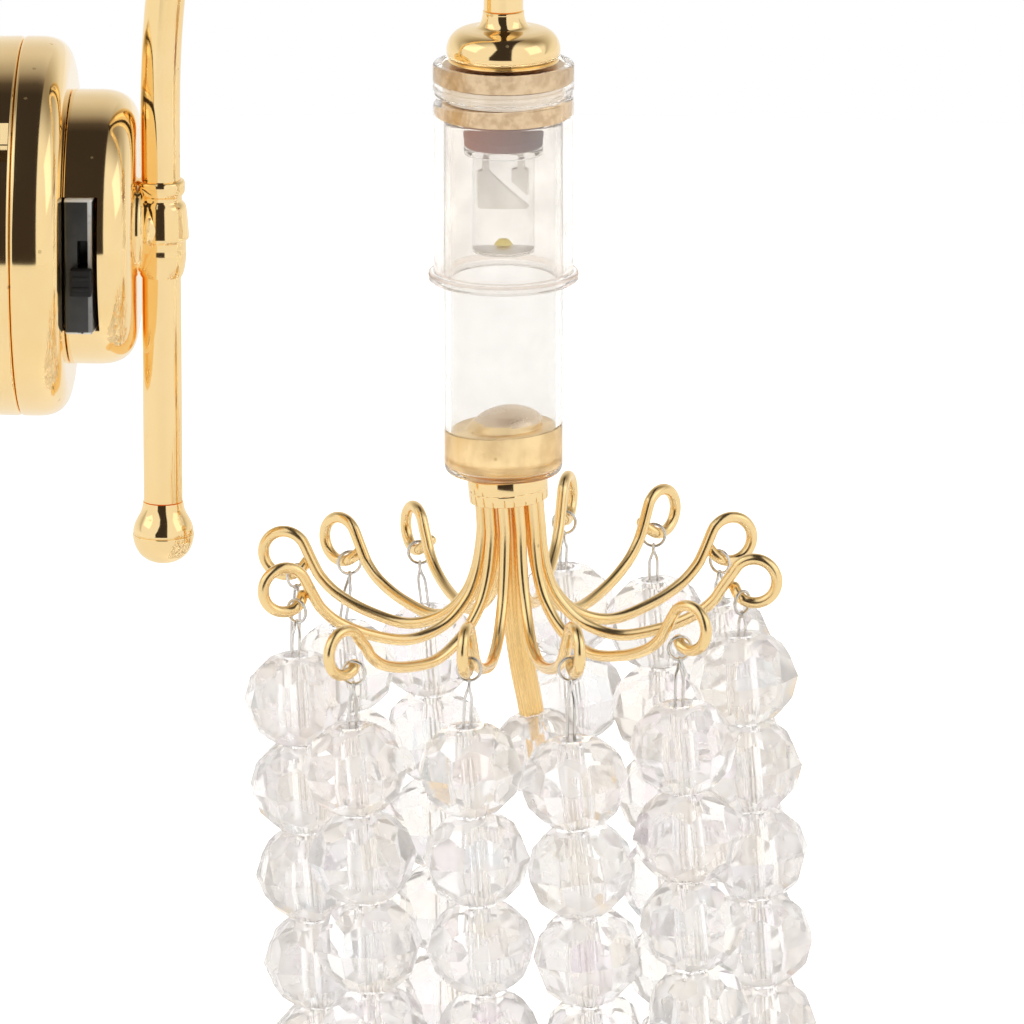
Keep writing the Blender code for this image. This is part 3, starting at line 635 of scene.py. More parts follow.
def bead_glass():
    """Cut glass with a thin iridescent coat whose thickness differs from facet to facet, under a
    patchy haze that glows faintly as painted light.
    """
    graph = material_graph("cut_crystal_glass")
    film = graph.node("ShaderNodeAttribute", attribute_name="film").outputs["Fac"]
    pick = graph.math("FRACT", graph.add(film, graph.noise(380.0, detail=2.0, gain=0.18)))
    plain = (1.0, 0.993, 0.984)
    colour = graph.colour_ramp(pick, (
        (0.0, plain), (0.28, plain), (0.36, (1.0, 0.945, 0.930)), (0.43, plain),
        (0.52, (1.0, 0.962, 0.890)), (0.60, plain), (0.70, (0.970, 0.952, 0.995)),
        (0.76, plain), (0.86, plain), (0.89, (0.895, 0.948, 1.0)),
        (0.93, (0.955, 0.915, 0.990)), (1.0, plain)))
    thickness = graph.add(graph.mul(pick, 420.0), 180.0)
    thickness = graph.mul(thickness, graph.ramp(film, over=(0.80, 0.84)))
    glass = graph.principled(
        Base_Color=colour, Roughness=graph.noise(1800.0, detail=3.0, gain=0.012), IOR=1.42,
        Transmission_Weight=1.0, Thin_Film_Thickness=thickness, Thin_Film_IOR=1.7,
        Normal=graph.bump(graph.noise(2600.0, detail=2.0), 0.15e-6))
    # painted light: a warm near-white haze that glows by itself, laid in patches over the facets to
    # brighten the beads
    veil = graph.mix(0.5, colour, (0.990, 0.948, 0.908))
    glowing_haze = graph.principled(Base_Color=veil, Roughness=0.9, Specular_IOR_Level=0.0,
                             Emission_Color=veil, Emission_Strength=0.15)
    # the bore, with film 0, gets none of the glowing haze
    patches = graph.ramp(graph.noise(700.0, detail=2.0), over=(0.3, 0.7), to=(0.20, 0.29))
    glow_haze_amount = graph.mul(graph.math("GREATER_THAN", film, 0.01), patches)
    return graph.finish(graph.mix_shader(glow_haze_amount, glass, glowing_haze))


def holder_material():
    """Dusty rubber, reddish on the -X side and grey on the +X side."""
    graph = material_graph("holder_rubber_dusty")
    side = graph.ramp_mm(graph.xyz()[0], (LAMP_X - 1.6, LAMP_X + 1.9), smooth=False)
    colour = graph.mix(side, (0.42, 0.215, 0.185), (0.22, 0.205, 0.225))
    dust = graph.ramp(graph.noise(1400.0, detail=4.0), over=(0.3, 0.75), to=(0.0, 0.4))
    return graph.finish(graph.principled(
        Base_Color=graph.mix(dust, colour, (0.36, 0.27, 0.26)), Roughness=0.6,
        Normal=graph.bump(graph.noise(3800.0, detail=3.0), 4e-6)))


def phosphor_material():
    graph = material_graph("phosphor_yellow")
    patches = graph.noise(3000.0, detail=3.0)
    return graph.finish(graph.principled(
        Base_Color=graph.mix(patches, (0.98, 0.86, 0.30), (0.94, 0.74, 0.20)),
        Roughness=0.55, Normal=graph.bump(graph.noise(6000.0), 2e-6)))


def pale_plastic(name, light, dark, patch_scale, roughness, bump, specular=0.5):
    graph = material_graph(name)
    return graph.finish(graph.principled(
        Base_Color=graph.mottle(light, dark, over=(0.3, 0.7), scale=patch_scale, detail=3.0),
        Roughness=roughness, Specular_IOR_Level=specular,
        Normal=graph.bump(graph.noise(2600.0), bump)))


GOLD = gold_material("gold_plate_polished", rough=0.055, rough_var=0.06)
GOLD_WIRE = gold_material("gold_wire", rough=0.16, rough_var=0.08, wave=1.3)
GOLD_STEM = gold_material("gold_stem_satin", rough=0.19, rough_var=0.10,
                          tone=(0.95, 0.685, 0.330), deep=(0.93, 0.64, 0.27))
GOLD_WORN = gold_material("gold_plug_worn", rough=0.26, rough_var=0.16, wave=1.6, pits=6.0,
                          tone=(0.985, 0.750, 0.410), deep=(0.80, 0.575, 0.295),
                          drift_scale=780.0)
# painted shade and reflection: the cup's gold is coloured far darker than the other gold, standing
# for the shade and gold reflections inside the clear ring; its roughness, ripple and pits are its
# own
GOLD_CUP = gold_material("gold_cup_dull_painted_shade", rough=0.20, rough_var=0.22, wave=3.0, pits=9.0,
                         tone=(0.70, 0.54, 0.355), deep=(0.53, 0.38, 0.235),
                         drift_scale=2300.0)
# painted reflection: the dome's gold is paler and greyer, standing for the dark reflection seen in
# it; its roughness, ripple and pits are its own
GOLD_DOME = gold_material("gold_dome_painted_reflection", rough=0.22, rough_var=0.12, wave=1.4, pits=4.0,
                          tone=(0.90, 0.74, 0.56), deep=(0.74, 0.58, 0.42))
STEEL = steel_material("cell_steel_brushed", base=(0.66, 0.65, 0.63), dark=(0.50, 0.49, 0.47),
                       rough=0.2)
LINK = steel_material("link_wire_silver", base=(0.80, 0.785, 0.76), dark=(0.62, 0.60, 0.57),
                      rough=0.14)
TIN = steel_material("tinned_lead_frame", base=(0.97, 0.95, 0.92), dark=(0.88, 0.86, 0.82),
                     rough=0.46)
BLACK = switch_plastic()
# kept as a spare finish: no piece wears it
black_plastic("black_plastic_slot", base=(0.004, 0.004, 0.004), rough=0.6, specular=0.1)
# painted shade: the knob's black is darker than the switch body's, standing for the shade it sits
# in; its duller gloss and coarser grain are its own
BLACK_KNOB = black_plastic("black_plastic_knob_painted_shade", base=(0.014, 0.014, 0.014), rough=0.42,
                           specular=0.25, grain=2.0)
FOAM = foam_material()
CLEAR = clear_plastic("clear_plastic_sleeve", tint=(0.993, 0.978, 0.960), haze=0.08, rough=0.035,
                      ior=1.13, below=(0.990, 0.966, 0.944), lip=(-2.15, -1.99))
CLEAR_TUBE = clear_plastic("clear_plastic_tube", tint=(0.981, 0.978, 0.973), haze=0.06,
                           rough=0.03, ior=1.22, below=(0.884, 0.879, 0.868))
CLEAR_RING = clear_plastic("clear_plastic_ring", tint=(0.985, 0.970, 0.945), haze=0.10,
                           rough=0.06, ior=1.25, streak=2.5)
LED_CLEAR = clear_plastic("led_epoxy_clear", tint=(1.0, 0.999, 0.994), haze=0.07, rough=0.03,
                          ior=1.18, streak=0.6)
GLASS = bead_glass()
HOLDER = holder_material()
PHOSPHOR = phosphor_material()
INSULATION = pale_plastic("lead_insulation_pvc", light=(0.84, 0.82, 0.78),
                          dark=(0.76, 0.73, 0.68), patch_scale=1200.0, roughness=0.45, bump=2e-6)

# ---------------------------------------------------------------------- pad, cover and battery
PAD_R = PAD_HIGH.z
pad = lathe("foam_pad", rounded([
    (0, PAD_LOW.x), (PAD_R, PAD_LOW.x, 0.10),
    (PAD_R - 0.05, (PAD_LOW.x + PAD_HIGH.x) / 2, 0.3),
    (PAD_R, PAD_HIGH.x, 0.10), (0, PAD_HIGH.x)]), FOAM, WALL_LINE)
stands_for(pad, "adhesive_pad")

BACK, SEAM = COVER_LOW.x, COVER_HIGH.x
COVER_BORE, COVER_WALL = 8.44, 0.8
NOTCH = (2.72, -9.6, 4.90), (3.60, -6.43, 7.6)  # box cut from the rims of cover and case
cover = lathe("rear_cap", rounded([
    (0, BACK), (CASE_R - 0.05, BACK, 0.45), (CASE_R, SEAM, 0.20), (COVER_BORE, SEAM, 0.05),
    (COVER_BORE, BACK + COVER_WALL, 0.25), (0, BACK + COVER_WALL)], steps=6),
    GOLD, WALL_LINE, 160)
boolean(cover, box("notch_tool", *NOTCH, GOLD), "DIFFERENCE")
stands_for(cover, "rear_cover")

CELL_R, CELL_BACK, CELL_FACE = CELL_HIGH.z, CELL_LOW.x, CELL_HIGH.x
cell = lathe("coin_cell", rounded([
    (0, CELL_BACK), (CELL_R - 0.9, CELL_BACK, 0.12), (CELL_R - 0.9, CELL_BACK + 0.25, 0.04),
    (CELL_R - 0.5, CELL_BACK + 0.30, 0.04), (CELL_R - 0.34, CELL_BACK + 0.40, 0.04),
    (CELL_R, CELL_BACK + 0.4, 0.12), (CELL_R, CELL_FACE, 0.25), (CELL_R - 1.1, CELL_FACE, 0.06),
    (CELL_R - 1.2, CELL_FACE - 0.06, 0.06), (0, CELL_FACE - 0.06)]), STEEL, WALL_LINE, 128)
stands_for(cell, "battery_cell")


def spring_strip():
    """A bent strip, narrow in the middle, with slightly crowned faces."""
    # stations along the strip: x, y, z
    stations = catmull([(1.75, 0, -5.5), (1.75, 0, -3.0), (2.2, 0, -1.4), (2.72, 0, 0.0),
                        (2.2, 0, 1.4), (1.78, 0, 3.0), (1.78, 0, 4.6)], 8)
    edge, crown, inset = 0.1, 0.115, 0.08
    verts = []
    for point in stations:
        wide = 1.3 - 0.45 * math.exp(-(point.z / 1.2) ** 2)
        narrow = wide - inset
        section = ((-wide, -edge), (-narrow, -crown), (narrow, -crown), (wide, -edge),
                   (wide, edge), (narrow, crown), (-narrow, crown), (-wide, edge))
        verts += [(point.x + dx, dy, point.z) for dy, dx in section]
    return build("spring_strip", verts, ring_faces(len(stations), 8), STEEL)


def front_contact():
    """A thin plate, as two grids, with a shallow rib down its middle."""
    columns, rows = 24, 72
    verts, faces = [], []
    for surface_x in (PLATE_LOW.x + 0.03, PLATE_HIGH.x - 0.03):
        for j in range(rows + 1):
            for i in range(columns + 1):
                y = PLATE_LOW.y + (PLATE_HIGH.y - PLATE_LOW.y) * i / columns
                z = PLATE_LOW.z + (PLATE_HIGH.z - PLATE_LOW.z) * j / rows
                rib = 0.0175 * math.exp(-((y / 0.28) ** 2)) * (1 - min(1.0, abs(z) / 4.2) ** 8)
                verts.append((surface_x - rib, y, z))
    width = columns + 1
    layer = width * (rows + 1)
    for j in range(rows):
        for i in range(columns):
            a = j * width + i
            faces.append((a, a + 1, a + 1 + width, a + width))
            faces.append((layer + a, layer + a + width, layer + a + 1 + width, layer + a + 1))
    for i in range(columns):
        faces.append((i, layer + i, layer + i + 1, i + 1))
        a = rows * width + i
        faces.append((a, a + 1, layer + a + 1, layer + a))
    for j in range(rows):
        a = j * width
        faces.append((a, a + width, layer + a + width, layer + a))
        a += columns
        faces.append((a, layer + a, layer + a + width, a + width))
    return build("front_contact", verts, faces, STEEL)


stands_for(spring_strip(), "contact_spring")
stands_for(front_contact(), "contact_plate")

# ------------------------------------------------------------------------------ case and drum
LIP, FACE = CASE_LOW.x, CASE_HIGH.x
LIP_R, CASE_BORE = 8.40, 8.08
CASE_SEAM = SEAM + 0.012
case = lathe("case_shell", rounded([
    (0, FACE), (CASE_R, FACE, 1.52), (CASE_R, CASE_SEAM, 0.20), (LIP_R, CASE_SEAM, 0.04),
    (LIP_R, LIP, 0.06), (CASE_BORE, LIP, 0.06), (CASE_BORE, FACE - 0.70, 0.3),
    (0, FACE - 0.70)], steps=12), GOLD, WALL_LINE, 192)
boolean(case, box("lip_notch_tool", *NOTCH, GOLD), "DIFFERENCE")
stands_for(case, "front_case")

DRUM_BACK, DRUM_BORE = DRUM_LOW.x, DRUM_R - 0.60
drum = lathe("drum_shell", rounded([
    (0, DRUM_FACE), (DRUM_R, DRUM_FACE, 1.78), (DRUM_R, DRUM_BACK, 0.06),
    (DRUM_BORE, DRUM_BACK, 0.05), (DRUM_BORE, DRUM_FACE - 0.62, 0.9), (0, DRUM_FACE - 0.60)],
    steps=14), GOLD, WALL_LINE, 192)
SWITCH_GAP = 0.04
boolean(drum, box("slot_tool", (5.9, -7.6, SWITCH_LOW.z - SWITCH_GAP),
                  (SWITCH_HIGH.x + SWITCH_GAP, -3.2, SWITCH_HIGH.z + SWITCH_GAP), GOLD),
        "DIFFERENCE")
stands_for(drum, "switch_drum")


# ------------------------------------------------------------------------------- slide switch
def switch_block():
    """A moulded block with draft on the outer end of its +X side, and a slot."""
    middle_x = 7.0  # splits the -X corners from the +X corners
    draft, draft_depth = 0.24, 1.0
    middle_y = (SWITCH_LOW.y + SWITCH_HIGH.y) / 2
    shape = box_bmesh(SWITCH_LOW, SWITCH_HIGH)
    for vert in shape.verts:
        if vert.co.y < middle_y and vert.co.x > middle_x:
            vert.co.x -= draft
    long_edges = [edge for edge in shape.edges
                  if abs(edge.verts[0].co.y - edge.verts[1].co.y) > 1.0]
    bmesh.ops.subdivide_edges(shape, edges=long_edges, cuts=1)
    for vert in shape.verts:
        if abs(vert.co.y - middle_y) < 0.3:
            vert.co.y = SWITCH_LOW.y + draft_depth
            if vert.co.x > middle_x:
                vert.co.x = SWITCH_HIGH.x

    def across_the_middle(edge):
        start, end = (vert.co.y for vert in edge.verts)
        return abs(start - end) < 1e-4 and SWITCH_LOW.y + 0.5 < start < SWITCH_HIGH.y - 0.5

    bmesh.ops.bevel(shape, geom=[edge for edge in shape.edges if not across_the_middle(edge)],
                    offset=0.13, segments=4, affect="EDGES", profile=0.5)
    block = from_bmesh("switch_block", shape, BLACK)
    slot = box("slot2_tool", (6.80, SWITCH_LOW.y - 0.5, -1.85), (7.30, SWITCH_LOW.y + 1.3, 0.76),
               BLACK, bevel=0.05, steps=2)
    boolean(block, slot, "DIFFERENCE")
    return block


def switch_slider():
    """A knob with two ribs outside and a stem into the slot."""
    knob = box("switch_slider", (KNOB_LOW.x, KNOB_LOW.y + 0.10, KNOB_LOW.z),
               (KNOB_HIGH.x, SWITCH_LOW.y - 0.03, KNOB_HIGH.z), BLACK_KNOB, bevel=0.09)
    for z in (KNOB_LOW.z + 0.40, KNOB_HIGH.z - 0.40):
        rib = box("rib_tool", (KNOB_LOW.x + 0.10, KNOB_LOW.y + 0.04, z - 0.10),
                  (KNOB_HIGH.x - 0.10, KNOB_LOW.y + 0.4, z + 0.10), BLACK_KNOB, bevel=0.05, steps=3)
        boolean(knob, rib, "UNION")
    stem_z = -1.82
    stem = box("stem_tool", (6.83, SWITCH_LOW.y - 0.3, stem_z),
               (7.27, SWITCH_LOW.y + 1.2, stem_z + 1.20), BLACK_KNOB, bevel=0.03, steps=2)
    boolean(knob, stem, "UNION")
    return knob


stands_for(switch_block(), "switch_body")
stands_for(switch_slider(), "switch_knob")

# ----------------------------------------------------------------------- rod, knuckle, finial
# knuckle outline: radius, height
KNUCKLE_UPPER = [(1.015, 2.36), (1.10, 2.34), (1.165, 2.24), (1.175, 2.02), (1.165, 1.80),
                 (1.10, 1.66), (1.03, 1.56), (1.02, 1.38), (1.06, 1.28)]
KNUCKLE_MIDDLE = [(1.17, 1.17), (1.225, 1.02), (1.265, 0.72), (1.300, 0.32), (1.330, -0.10),
                  (1.350, -0.42)]
KNUCKLE_LOWER = [(1.215, -0.64), (1.200, -0.95), (1.215, -1.35), (1.17, -1.80), (1.10, -2.15),
                 (1.02, -2.38)]
KNUCKLE_BORE = 0.952
BOSS_R = 2.25
knuckle = lathe("rod_knuckle", [
    (KNUCKLE_BORE, 2.36), *smooth_profile(KNUCKLE_UPPER), *smooth_profile(KNUCKLE_MIDDLE),
    (1.340, -0.50), (1.29, -0.56), *smooth_profile(KNUCKLE_LOWER), (KNUCKLE_BORE, -2.40)],
    GOLD, ROD_LINE, smooth=24)
boss = lathe("boss_tool", [
    (0, DRUM_FACE), (BOSS_R, DRUM_FACE),
    *smooth_profile([
        (BOSS_R, DRUM_FACE + 0.04), (BOSS_R - 0.05, DRUM_FACE + 0.20),
        (BOSS_R - 0.25, DRUM_FACE + 0.34), (BOSS_R - 0.62, DRUM_FACE + 0.48),
        (1.38, DRUM_FACE + 0.72), (1.28, ROD_X - 0.15)]),
    (0, ROD_X - 0.05)], GOLD, WALL_LINE)
boolean(knuckle, boss, "UNION", smooth=24)
stands_for(knuckle, "arm_boss")

# straight rod, then three curves over to the lamp: (x, z)
ROD_BOTTOM, ROD_BEND = -13.55, 5.6
LEAN_POINT, CROWN, DROP_POINT = (ROD_X + 0.28, 11.3), (18.8, 20.6), (LAMP_X, 12.6)
rod_path = [Vector((ROD_X, 0, ROD_BOTTOM + (ROD_BEND - ROD_BOTTOM) * i / 40)) for i in range(40)]
rod_path += bezier((ROD_X, ROD_BEND), (ROD_X, 7.6), (ROD_X + 0.10, 9.5), LEAN_POINT, 16)
rod_path += bezier(LEAN_POINT, (ROD_X + 0.72, 16.3), (14.4, 20.6), CROWN, 48)
rod_path += bezier(CROWN, (23.6, 20.6), (LAMP_X, 17.4), DROP_POINT, 48)
rod_path += [Vector((LAMP_X, 0, z)) for z in (12.6, 11.7, 10.86)]
stands_for(bar("swan_neck_rod", rod_path, ROD_R, 72, GOLD), "arm_rod")

# finial outline: radius, depth below its top, in order: neck and upper ball, groove, lower ball
FINIAL_UPPER = [(0.98, 0.0), (1.005, 0.16), (1.045, 0.36), (1.13, 0.58), (1.25, 0.80),
                (1.37, 1.04), (1.45, 1.28), (1.478, 1.50)]
FINIAL_GROOVE = [(1.474, 1.535), (1.452, 1.55), (1.452, 1.575), (1.492, 1.60), (1.503, 1.64)]
FINIAL_LOWER = [(1.492, 1.72), (1.455, 1.96), (1.34, 2.30), (1.13, 2.62), (0.80, 2.88),
                (0.40, 3.03), (0.0, 3.07)]
FINIAL_TOP = node_box("ball_finial")[1].z


def below_finial_top(points):
    return [(radius, FINIAL_TOP - depth) for radius, depth in points]


finial = lathe("finial_ball", [
    (0, FINIAL_TOP), *smooth_profile(below_finial_top(FINIAL_UPPER)),
    *below_finial_top(FINIAL_GROOVE), *smooth_profile(below_finial_top(FINIAL_LOWER), 5)],
    GOLD, ROD_LINE, smooth=20)
stands_for(finial, "ball_finial")

# -------------------------------------------------------------------- bell, clear ring and cup
# bell outline: radius, height
BELL_NECK = [(0, 10.80), (0.955, 10.80), (0.985, 10.78), (0.995, 10.72)]
BELL_FLARE = [(0.99, 10.70), (1.01, 10.52), (1.07, 10.28), (1.16, 10.10)]
BELL_BODY = [(1.205, 10.045), (1.32, 9.985), (1.55, 9.945), (1.85, 9.905), (2.12, 9.835),
             (2.36, 9.70), (2.56, 9.48), (2.685, 9.20), (2.735, 8.92), (2.705, 8.66),
             (2.61, 8.47)]
BELL_RIM = [(2.58, 8.445), (2.62, 8.42), (2.655, 8.375), (2.62, 8.32), (2.54, 8.29)]
BELL_INSIDE = [(2.40, 8.28), (1.9, 8.28), (1.75, 9.2), (0.6, 9.6), (0, 9.6)]
bell = lathe("bell", [
    *BELL_NECK, *smooth_profile(BELL_FLARE), *smooth_profile(BELL_BODY, 5),
    *smooth_profile(BELL_RIM), *BELL_INSIDE], GOLD, segments=128, smooth=22)
stands_for(bell, "bell_cap")

RING_R, RING_BOTTOM, RING_TOP = (RING_HIGH.x - RING_LOW.x) / 2, RING_LOW.z, RING_HIGH.z
CLEAR_BORE = 2.94  # inside radius of the clear ring and sleeve
ring = lathe("clear_ring", rounded([
    (RING_R, RING_TOP, 0.16), (RING_R, RING_BOTTOM + 0.30, 0.05),
    (RING_R - 0.09, RING_BOTTOM + 0.22, 0.04), (RING_R - 0.06, RING_BOTTOM, 0.07),
    (CLEAR_BORE, RING_BOTTOM, 0.05), (CLEAR_BORE, RING_TOP, 0.06)], steps=5),
    CLEAR_RING, segments=128)
stands_for(ring, "cap_ring")

CUP_TOP = node_box("inner_cup")[1].z
CUP_R, CUP_WAIST_R, CUP_BORE, CUP_HOLE_R = 2.955, 2.60, 2.02, 0.75
cup = lathe("gold_cup", rounded([
    (CUP_HOLE_R, CUP_TOP, 0.04), (CUP_R, CUP_TOP, 0.05), (CUP_R, 7.30, 0.05),
    (CUP_WAIST_R, 7.22, 0.05), (CUP_WAIST_R, 6.46, 0.05), (CUP_R, 6.38, 0.05),
    (CUP_R, 5.60, 0.05), (CUP_BORE, 5.42, 0.05), (CUP_BORE, CUP_TOP - 0.6, 0.2),
    (CUP_HOLE_R, CUP_TOP - 0.6, 0.04)]), GOLD_CUP, segments=128)
stands_for(cup, "inner_cup")

# the clear ring's moulded thread, seen between the two gold bands of the cup
THREAD_R, THREAD_PITCH = 2.80, 0.215
helix = []
for k in range(260):
    angle = 2 * math.pi * k / 100
    helix.append((LAMP_X + THREAD_R * math.cos(angle), THREAD_R * math.sin(angle),
                  6.58 + THREAD_PITCH * k / 100))
thread_data = join_data([
    lathe_data([(2.64, 7.24), (THREAD_R, 7.24), (THREAD_R, 6.44), (2.64, 6.44)], 128, LAMP_LINE),
    sweep_data(helix, 0.105, 12, round_start=True, round_end=True)])
MILKY = pale_plastic("thread_milky_plastic", light=(0.94, 0.87, 0.78), dark=(0.87, 0.77, 0.65),
                     patch_scale=1500.0, roughness=0.25, bump=3e-6, specular=0.6)
rides_with(build("ring_thread", *thread_data, MILKY, weld=0), "cap_ring")

# ------------------------------------------------------------------------- LED and its holder
HOLDER_LOW, HOLDER_HIGH = node_box("led_grommet")
HOLDER_R = (HOLDER_HIGH.x - HOLDER_LOW.x) / 2
HOLDER_BORE = 0.62
holder = lathe("led_holder", rounded([
    (HOLDER_BORE, HOLDER_HIGH.z, 0.1), (HOLDER_R, HOLDER_HIGH.z, 0.12),
    (HOLDER_R, HOLDER_LOW.z + 0.50, 0.03), (HOLDER_R - 0.045, HOLDER_LOW.z + 0.44, 0.03),
    (HOLDER_R - 0.03, HOLDER_LOW.z, 0.16), (HOLDER_BORE, HOLDER_LOW.z, 0.1)]), HOLDER)
stands_for(holder, "led_grommet")

LENS_R, FLANGE_R, FLANGE_BOTTOM = 1.50, (LED_HIGH.x - LED_LOW.x) / 2, 3.80
lens = lathe("led_lens", rounded([
    (0, LED_HIGH.z), (FLANGE_R, LED_HIGH.z, 0.08), (FLANGE_R, FLANGE_BOTTOM, 0.06),
    (LENS_R, FLANGE_BOTTOM, 0.05), (LENS_R, LED_LOW.z, 0.09), (1.20, LED_LOW.z, 0.04),
    (0.0, LED_LOW.z + 0.20)], steps=5), LED_CLEAR)
stands_for(lens, "led")


def frame_plate(name, outline):
    """A flat stamped plate in the XZ plane with a small chamfer."""
    half_thickness = 0.22
    shape = bmesh.new()
    face = shape.faces.new([shape.verts.new((LAMP_X + x, -half_thickness, z))
                            for x, z in outline])
    made = bmesh.ops.extrude_face_region(shape, geom=[face])["geom"]
    bmesh.ops.translate(shape, verts=[part for part in made if isinstance(part, bmesh.types.BMVert)],
                        vec=(0, 2 * half_thickness, 0))
    bmesh.ops.bevel(shape, geom=shape.edges[:], offset=0.035, segments=2, affect="EDGES",
                    profile=0.5)
    return from_bmesh(name, shape, TIN)


# plate outlines: x from the lamp line, z
rides_with(frame_plate("led_anvil", [
    (-1.04, 1.13), (1.02, 1.13), (1.02, 1.26), (-0.40, 2.78), (-0.58, 3.02), (-0.58, 3.60),
    (-0.84, 3.60), (-0.86, 3.02), (-1.04, 2.94)]), "led")
rides_with(frame_plate("led_post", [
    (0.34, 2.50), (1.02, 1.78), (1.02, 3.04), (0.86, 3.14), (0.86, 3.60), (0.58, 3.60),
    (0.58, 3.14), (0.34, 3.08)]), "led")
rides_with(lathe("led_reflector", rounded([
    (0, -0.70), (0.42, -0.73, 0.03), (1.28, -0.86, 0.04), (1.25, -0.90, 0.02),
    (0.4, -0.77, 0.02), (0, -0.745)]), TIN, segments=64), "led")
rides_with(lathe("led_phosphor", rounded([
    (0, -0.30), (0.18, -0.33, 0.08), (0.30, -0.47, 0.08), (0.40, -0.64, 0.06), (0, -0.68)]),
    PHOSPHOR, segments=48), "led")

# two insulated wires, slightly wavy
LEADS_LOW, LEADS_HIGH = node_box("led_leads")
lead_parts = []
for side in (-1, 1):
    lead_path = []
    for i in range(21):
        z = LEADS_LOW.z + (LEADS_HIGH.z - LEADS_LOW.z) * i / 20
        lead_path.append((LAMP_X + side * (0.155 + 0.006 * math.sin(2.1 * z)),
                          0.02 * math.sin(1.7 * z + side), z))
    lead_parts.append(sweep_data(lead_path, 0.15, 20))
stands_for(build("led_wires", *join_data(lead_parts), INSULATION, weld=0),
           "led_leads")


# ----------------------------------------------------------------------- sleeve, tube and plug
def unit(value):
    return max(0.0, min(1.0, value))


SLEEVE_R, SLEEVE_BOTTOM, SLEEVE_TOP = 3.36, SLEEVE_LOW.z, SLEEVE_HIGH.z
SLEEVE_LIP_R = (SLEEVE_HIGH.x - SLEEVE_LOW.x) / 2
SLEEVE_SIDE_BOTTOM = -1.95


def sleeve_bend(point):
    """Lowers and tilts the top rim."""
    weight = unit((point.z - (SLEEVE_TOP - 0.9)) / 0.9)
    across = (point.x - LAMP_X) / SLEEVE_R
    return Vector((point.x, point.y, point.z + weight * (0.15 * across - 0.20)))


sleeve_side = [(SLEEVE_R + 0.012 * math.sin(i * 0.9),
                SLEEVE_TOP - (SLEEVE_TOP - SLEEVE_SIDE_BOTTOM) * i / 24, 0.0)
               for i in range(1, 24)]
sleeve = lathe("clear_sleeve", rounded([
    (SLEEVE_R - 0.02, SLEEVE_TOP, 0.10), *sleeve_side, (SLEEVE_R, SLEEVE_SIDE_BOTTOM, 0.05),
    (SLEEVE_LIP_R - 0.02, -1.98, 0.08), (SLEEVE_LIP_R, -2.12, 0.10),
    (SLEEVE_LIP_R, SLEEVE_BOTTOM + 0.10, 0.10), (SLEEVE_LIP_R - 0.16, SLEEVE_BOTTOM, 0.08),
    (CLEAR_BORE, SLEEVE_BOTTOM, 0.06), (CLEAR_BORE, SLEEVE_TOP, 0.06)], steps=5),
    CLEAR, segments=128, smooth=40, bend=sleeve_bend)
stands_for(sleeve, "upper_sleeve")

TUBE_R, TUBE_BORE = (TUBE_HIGH.x - TUBE_LOW.x) / 2, 2.46
TUBE_BOTTOM, TUBE_TOP = TUBE_LOW.z + 0.22, 5.46
tube = lathe("clear_tube", rounded([
    (TUBE_R, TUBE_TOP, 0.10), (TUBE_R, TUBE_BOTTOM, 1.10), (1.78, TUBE_BOTTOM, 0.05),
    (1.78, TUBE_BOTTOM + 0.12, 0.05), (TUBE_BORE - 0.12, TUBE_BOTTOM + 0.30, 0.2),
    (TUBE_BORE + 0.08, TUBE_BOTTOM + 0.85, 0.25), (TUBE_BORE + 0.08, TUBE_TOP, 0.08)], steps=9),
    CLEAR_TUBE, segments=128, smooth=40)
stands_for(tube, "lower_tube")

PLUG_TOP = -9.70  # height of the flat shoulder


def plug_bend(point):
    """Tilts the shoulder and moves the dome towards +X."""
    weight = unit((point.z - (PLUG_TOP - 1.2)) / 1.1)
    shift = 0.24 * unit((point.z - PLUG_TOP) / 0.5)
    return Vector((point.x + shift, point.y, point.z + weight * 0.055 * (point.x - LAMP_X)))


def end_plug():
    # dome on top: radius, height over the shoulder
    dome_points = [(0.02, 1.02), (0.45, 0.99), (0.90, 0.87), (1.36, 0.66), (1.68, 0.36),
                   (1.84, 0.06)]
    bend_r, bend_centre_r, bend_centre_z = 0.965, 1.76, TUBE_BOTTOM + 1.10
    outline = [(0, PLUG_TOP + 1.02)]
    outline += smooth_profile([(radius, PLUG_TOP + height) for radius, height in dome_points])
    outline += [(1.88, PLUG_TOP + 0.01), (2.67, PLUG_TOP), (2.71, PLUG_TOP - 0.02),
                (2.725, PLUG_TOP - 0.06)]
    for degrees in range(0, -88, -7):
        angle = math.radians(degrees)
        outline.append((bend_centre_r + bend_r * math.cos(angle),
                        bend_centre_z + bend_r * math.sin(angle)))
    outline += [(1.70, TUBE_BOTTOM + 0.08), (1.66, TUBE_BOTTOM - 0.02), (0.0, TUBE_BOTTOM - 0.04)]
    plug = lathe("end_plug", outline, GOLD_WORN, segments=112, bend=plug_bend)
    plug.data.materials.append(GOLD_DOME)
    for face in plug.data.polygons:
        if face.center.z > (PLUG_TOP + 0.34) * MM:
            face.material_index = 1
    return plug


stands_for(end_plug(), "tube_plug")

# --------------------------------------------------------------------------- collar and stem
HUB_Z, HUB_TILT = -9.90, math.radians(4.5)
HUB = Matrix.Translation((LAMP_X, 0, HUB_Z)) @ Matrix.Rotation(-HUB_TILT, 4, "Y")
collar = lathe("arm_collar", rounded([
    (0, -2.20), (1.93, -2.20, 0.10), (1.935, -2.84, 0.02), (1.915, -2.88, 0.02),
    (1.925, -2.93, 0.02), (1.91, -3.42, 0.05), (1.80, -3.42, 0.03), (1.80, -2.66, 0.05),
    (0, -2.66)], steps=3), GOLD, ORIGIN_LINE, segments=112, bend=lambda point: HUB @ point)
stands_for(collar, "hub_collar")

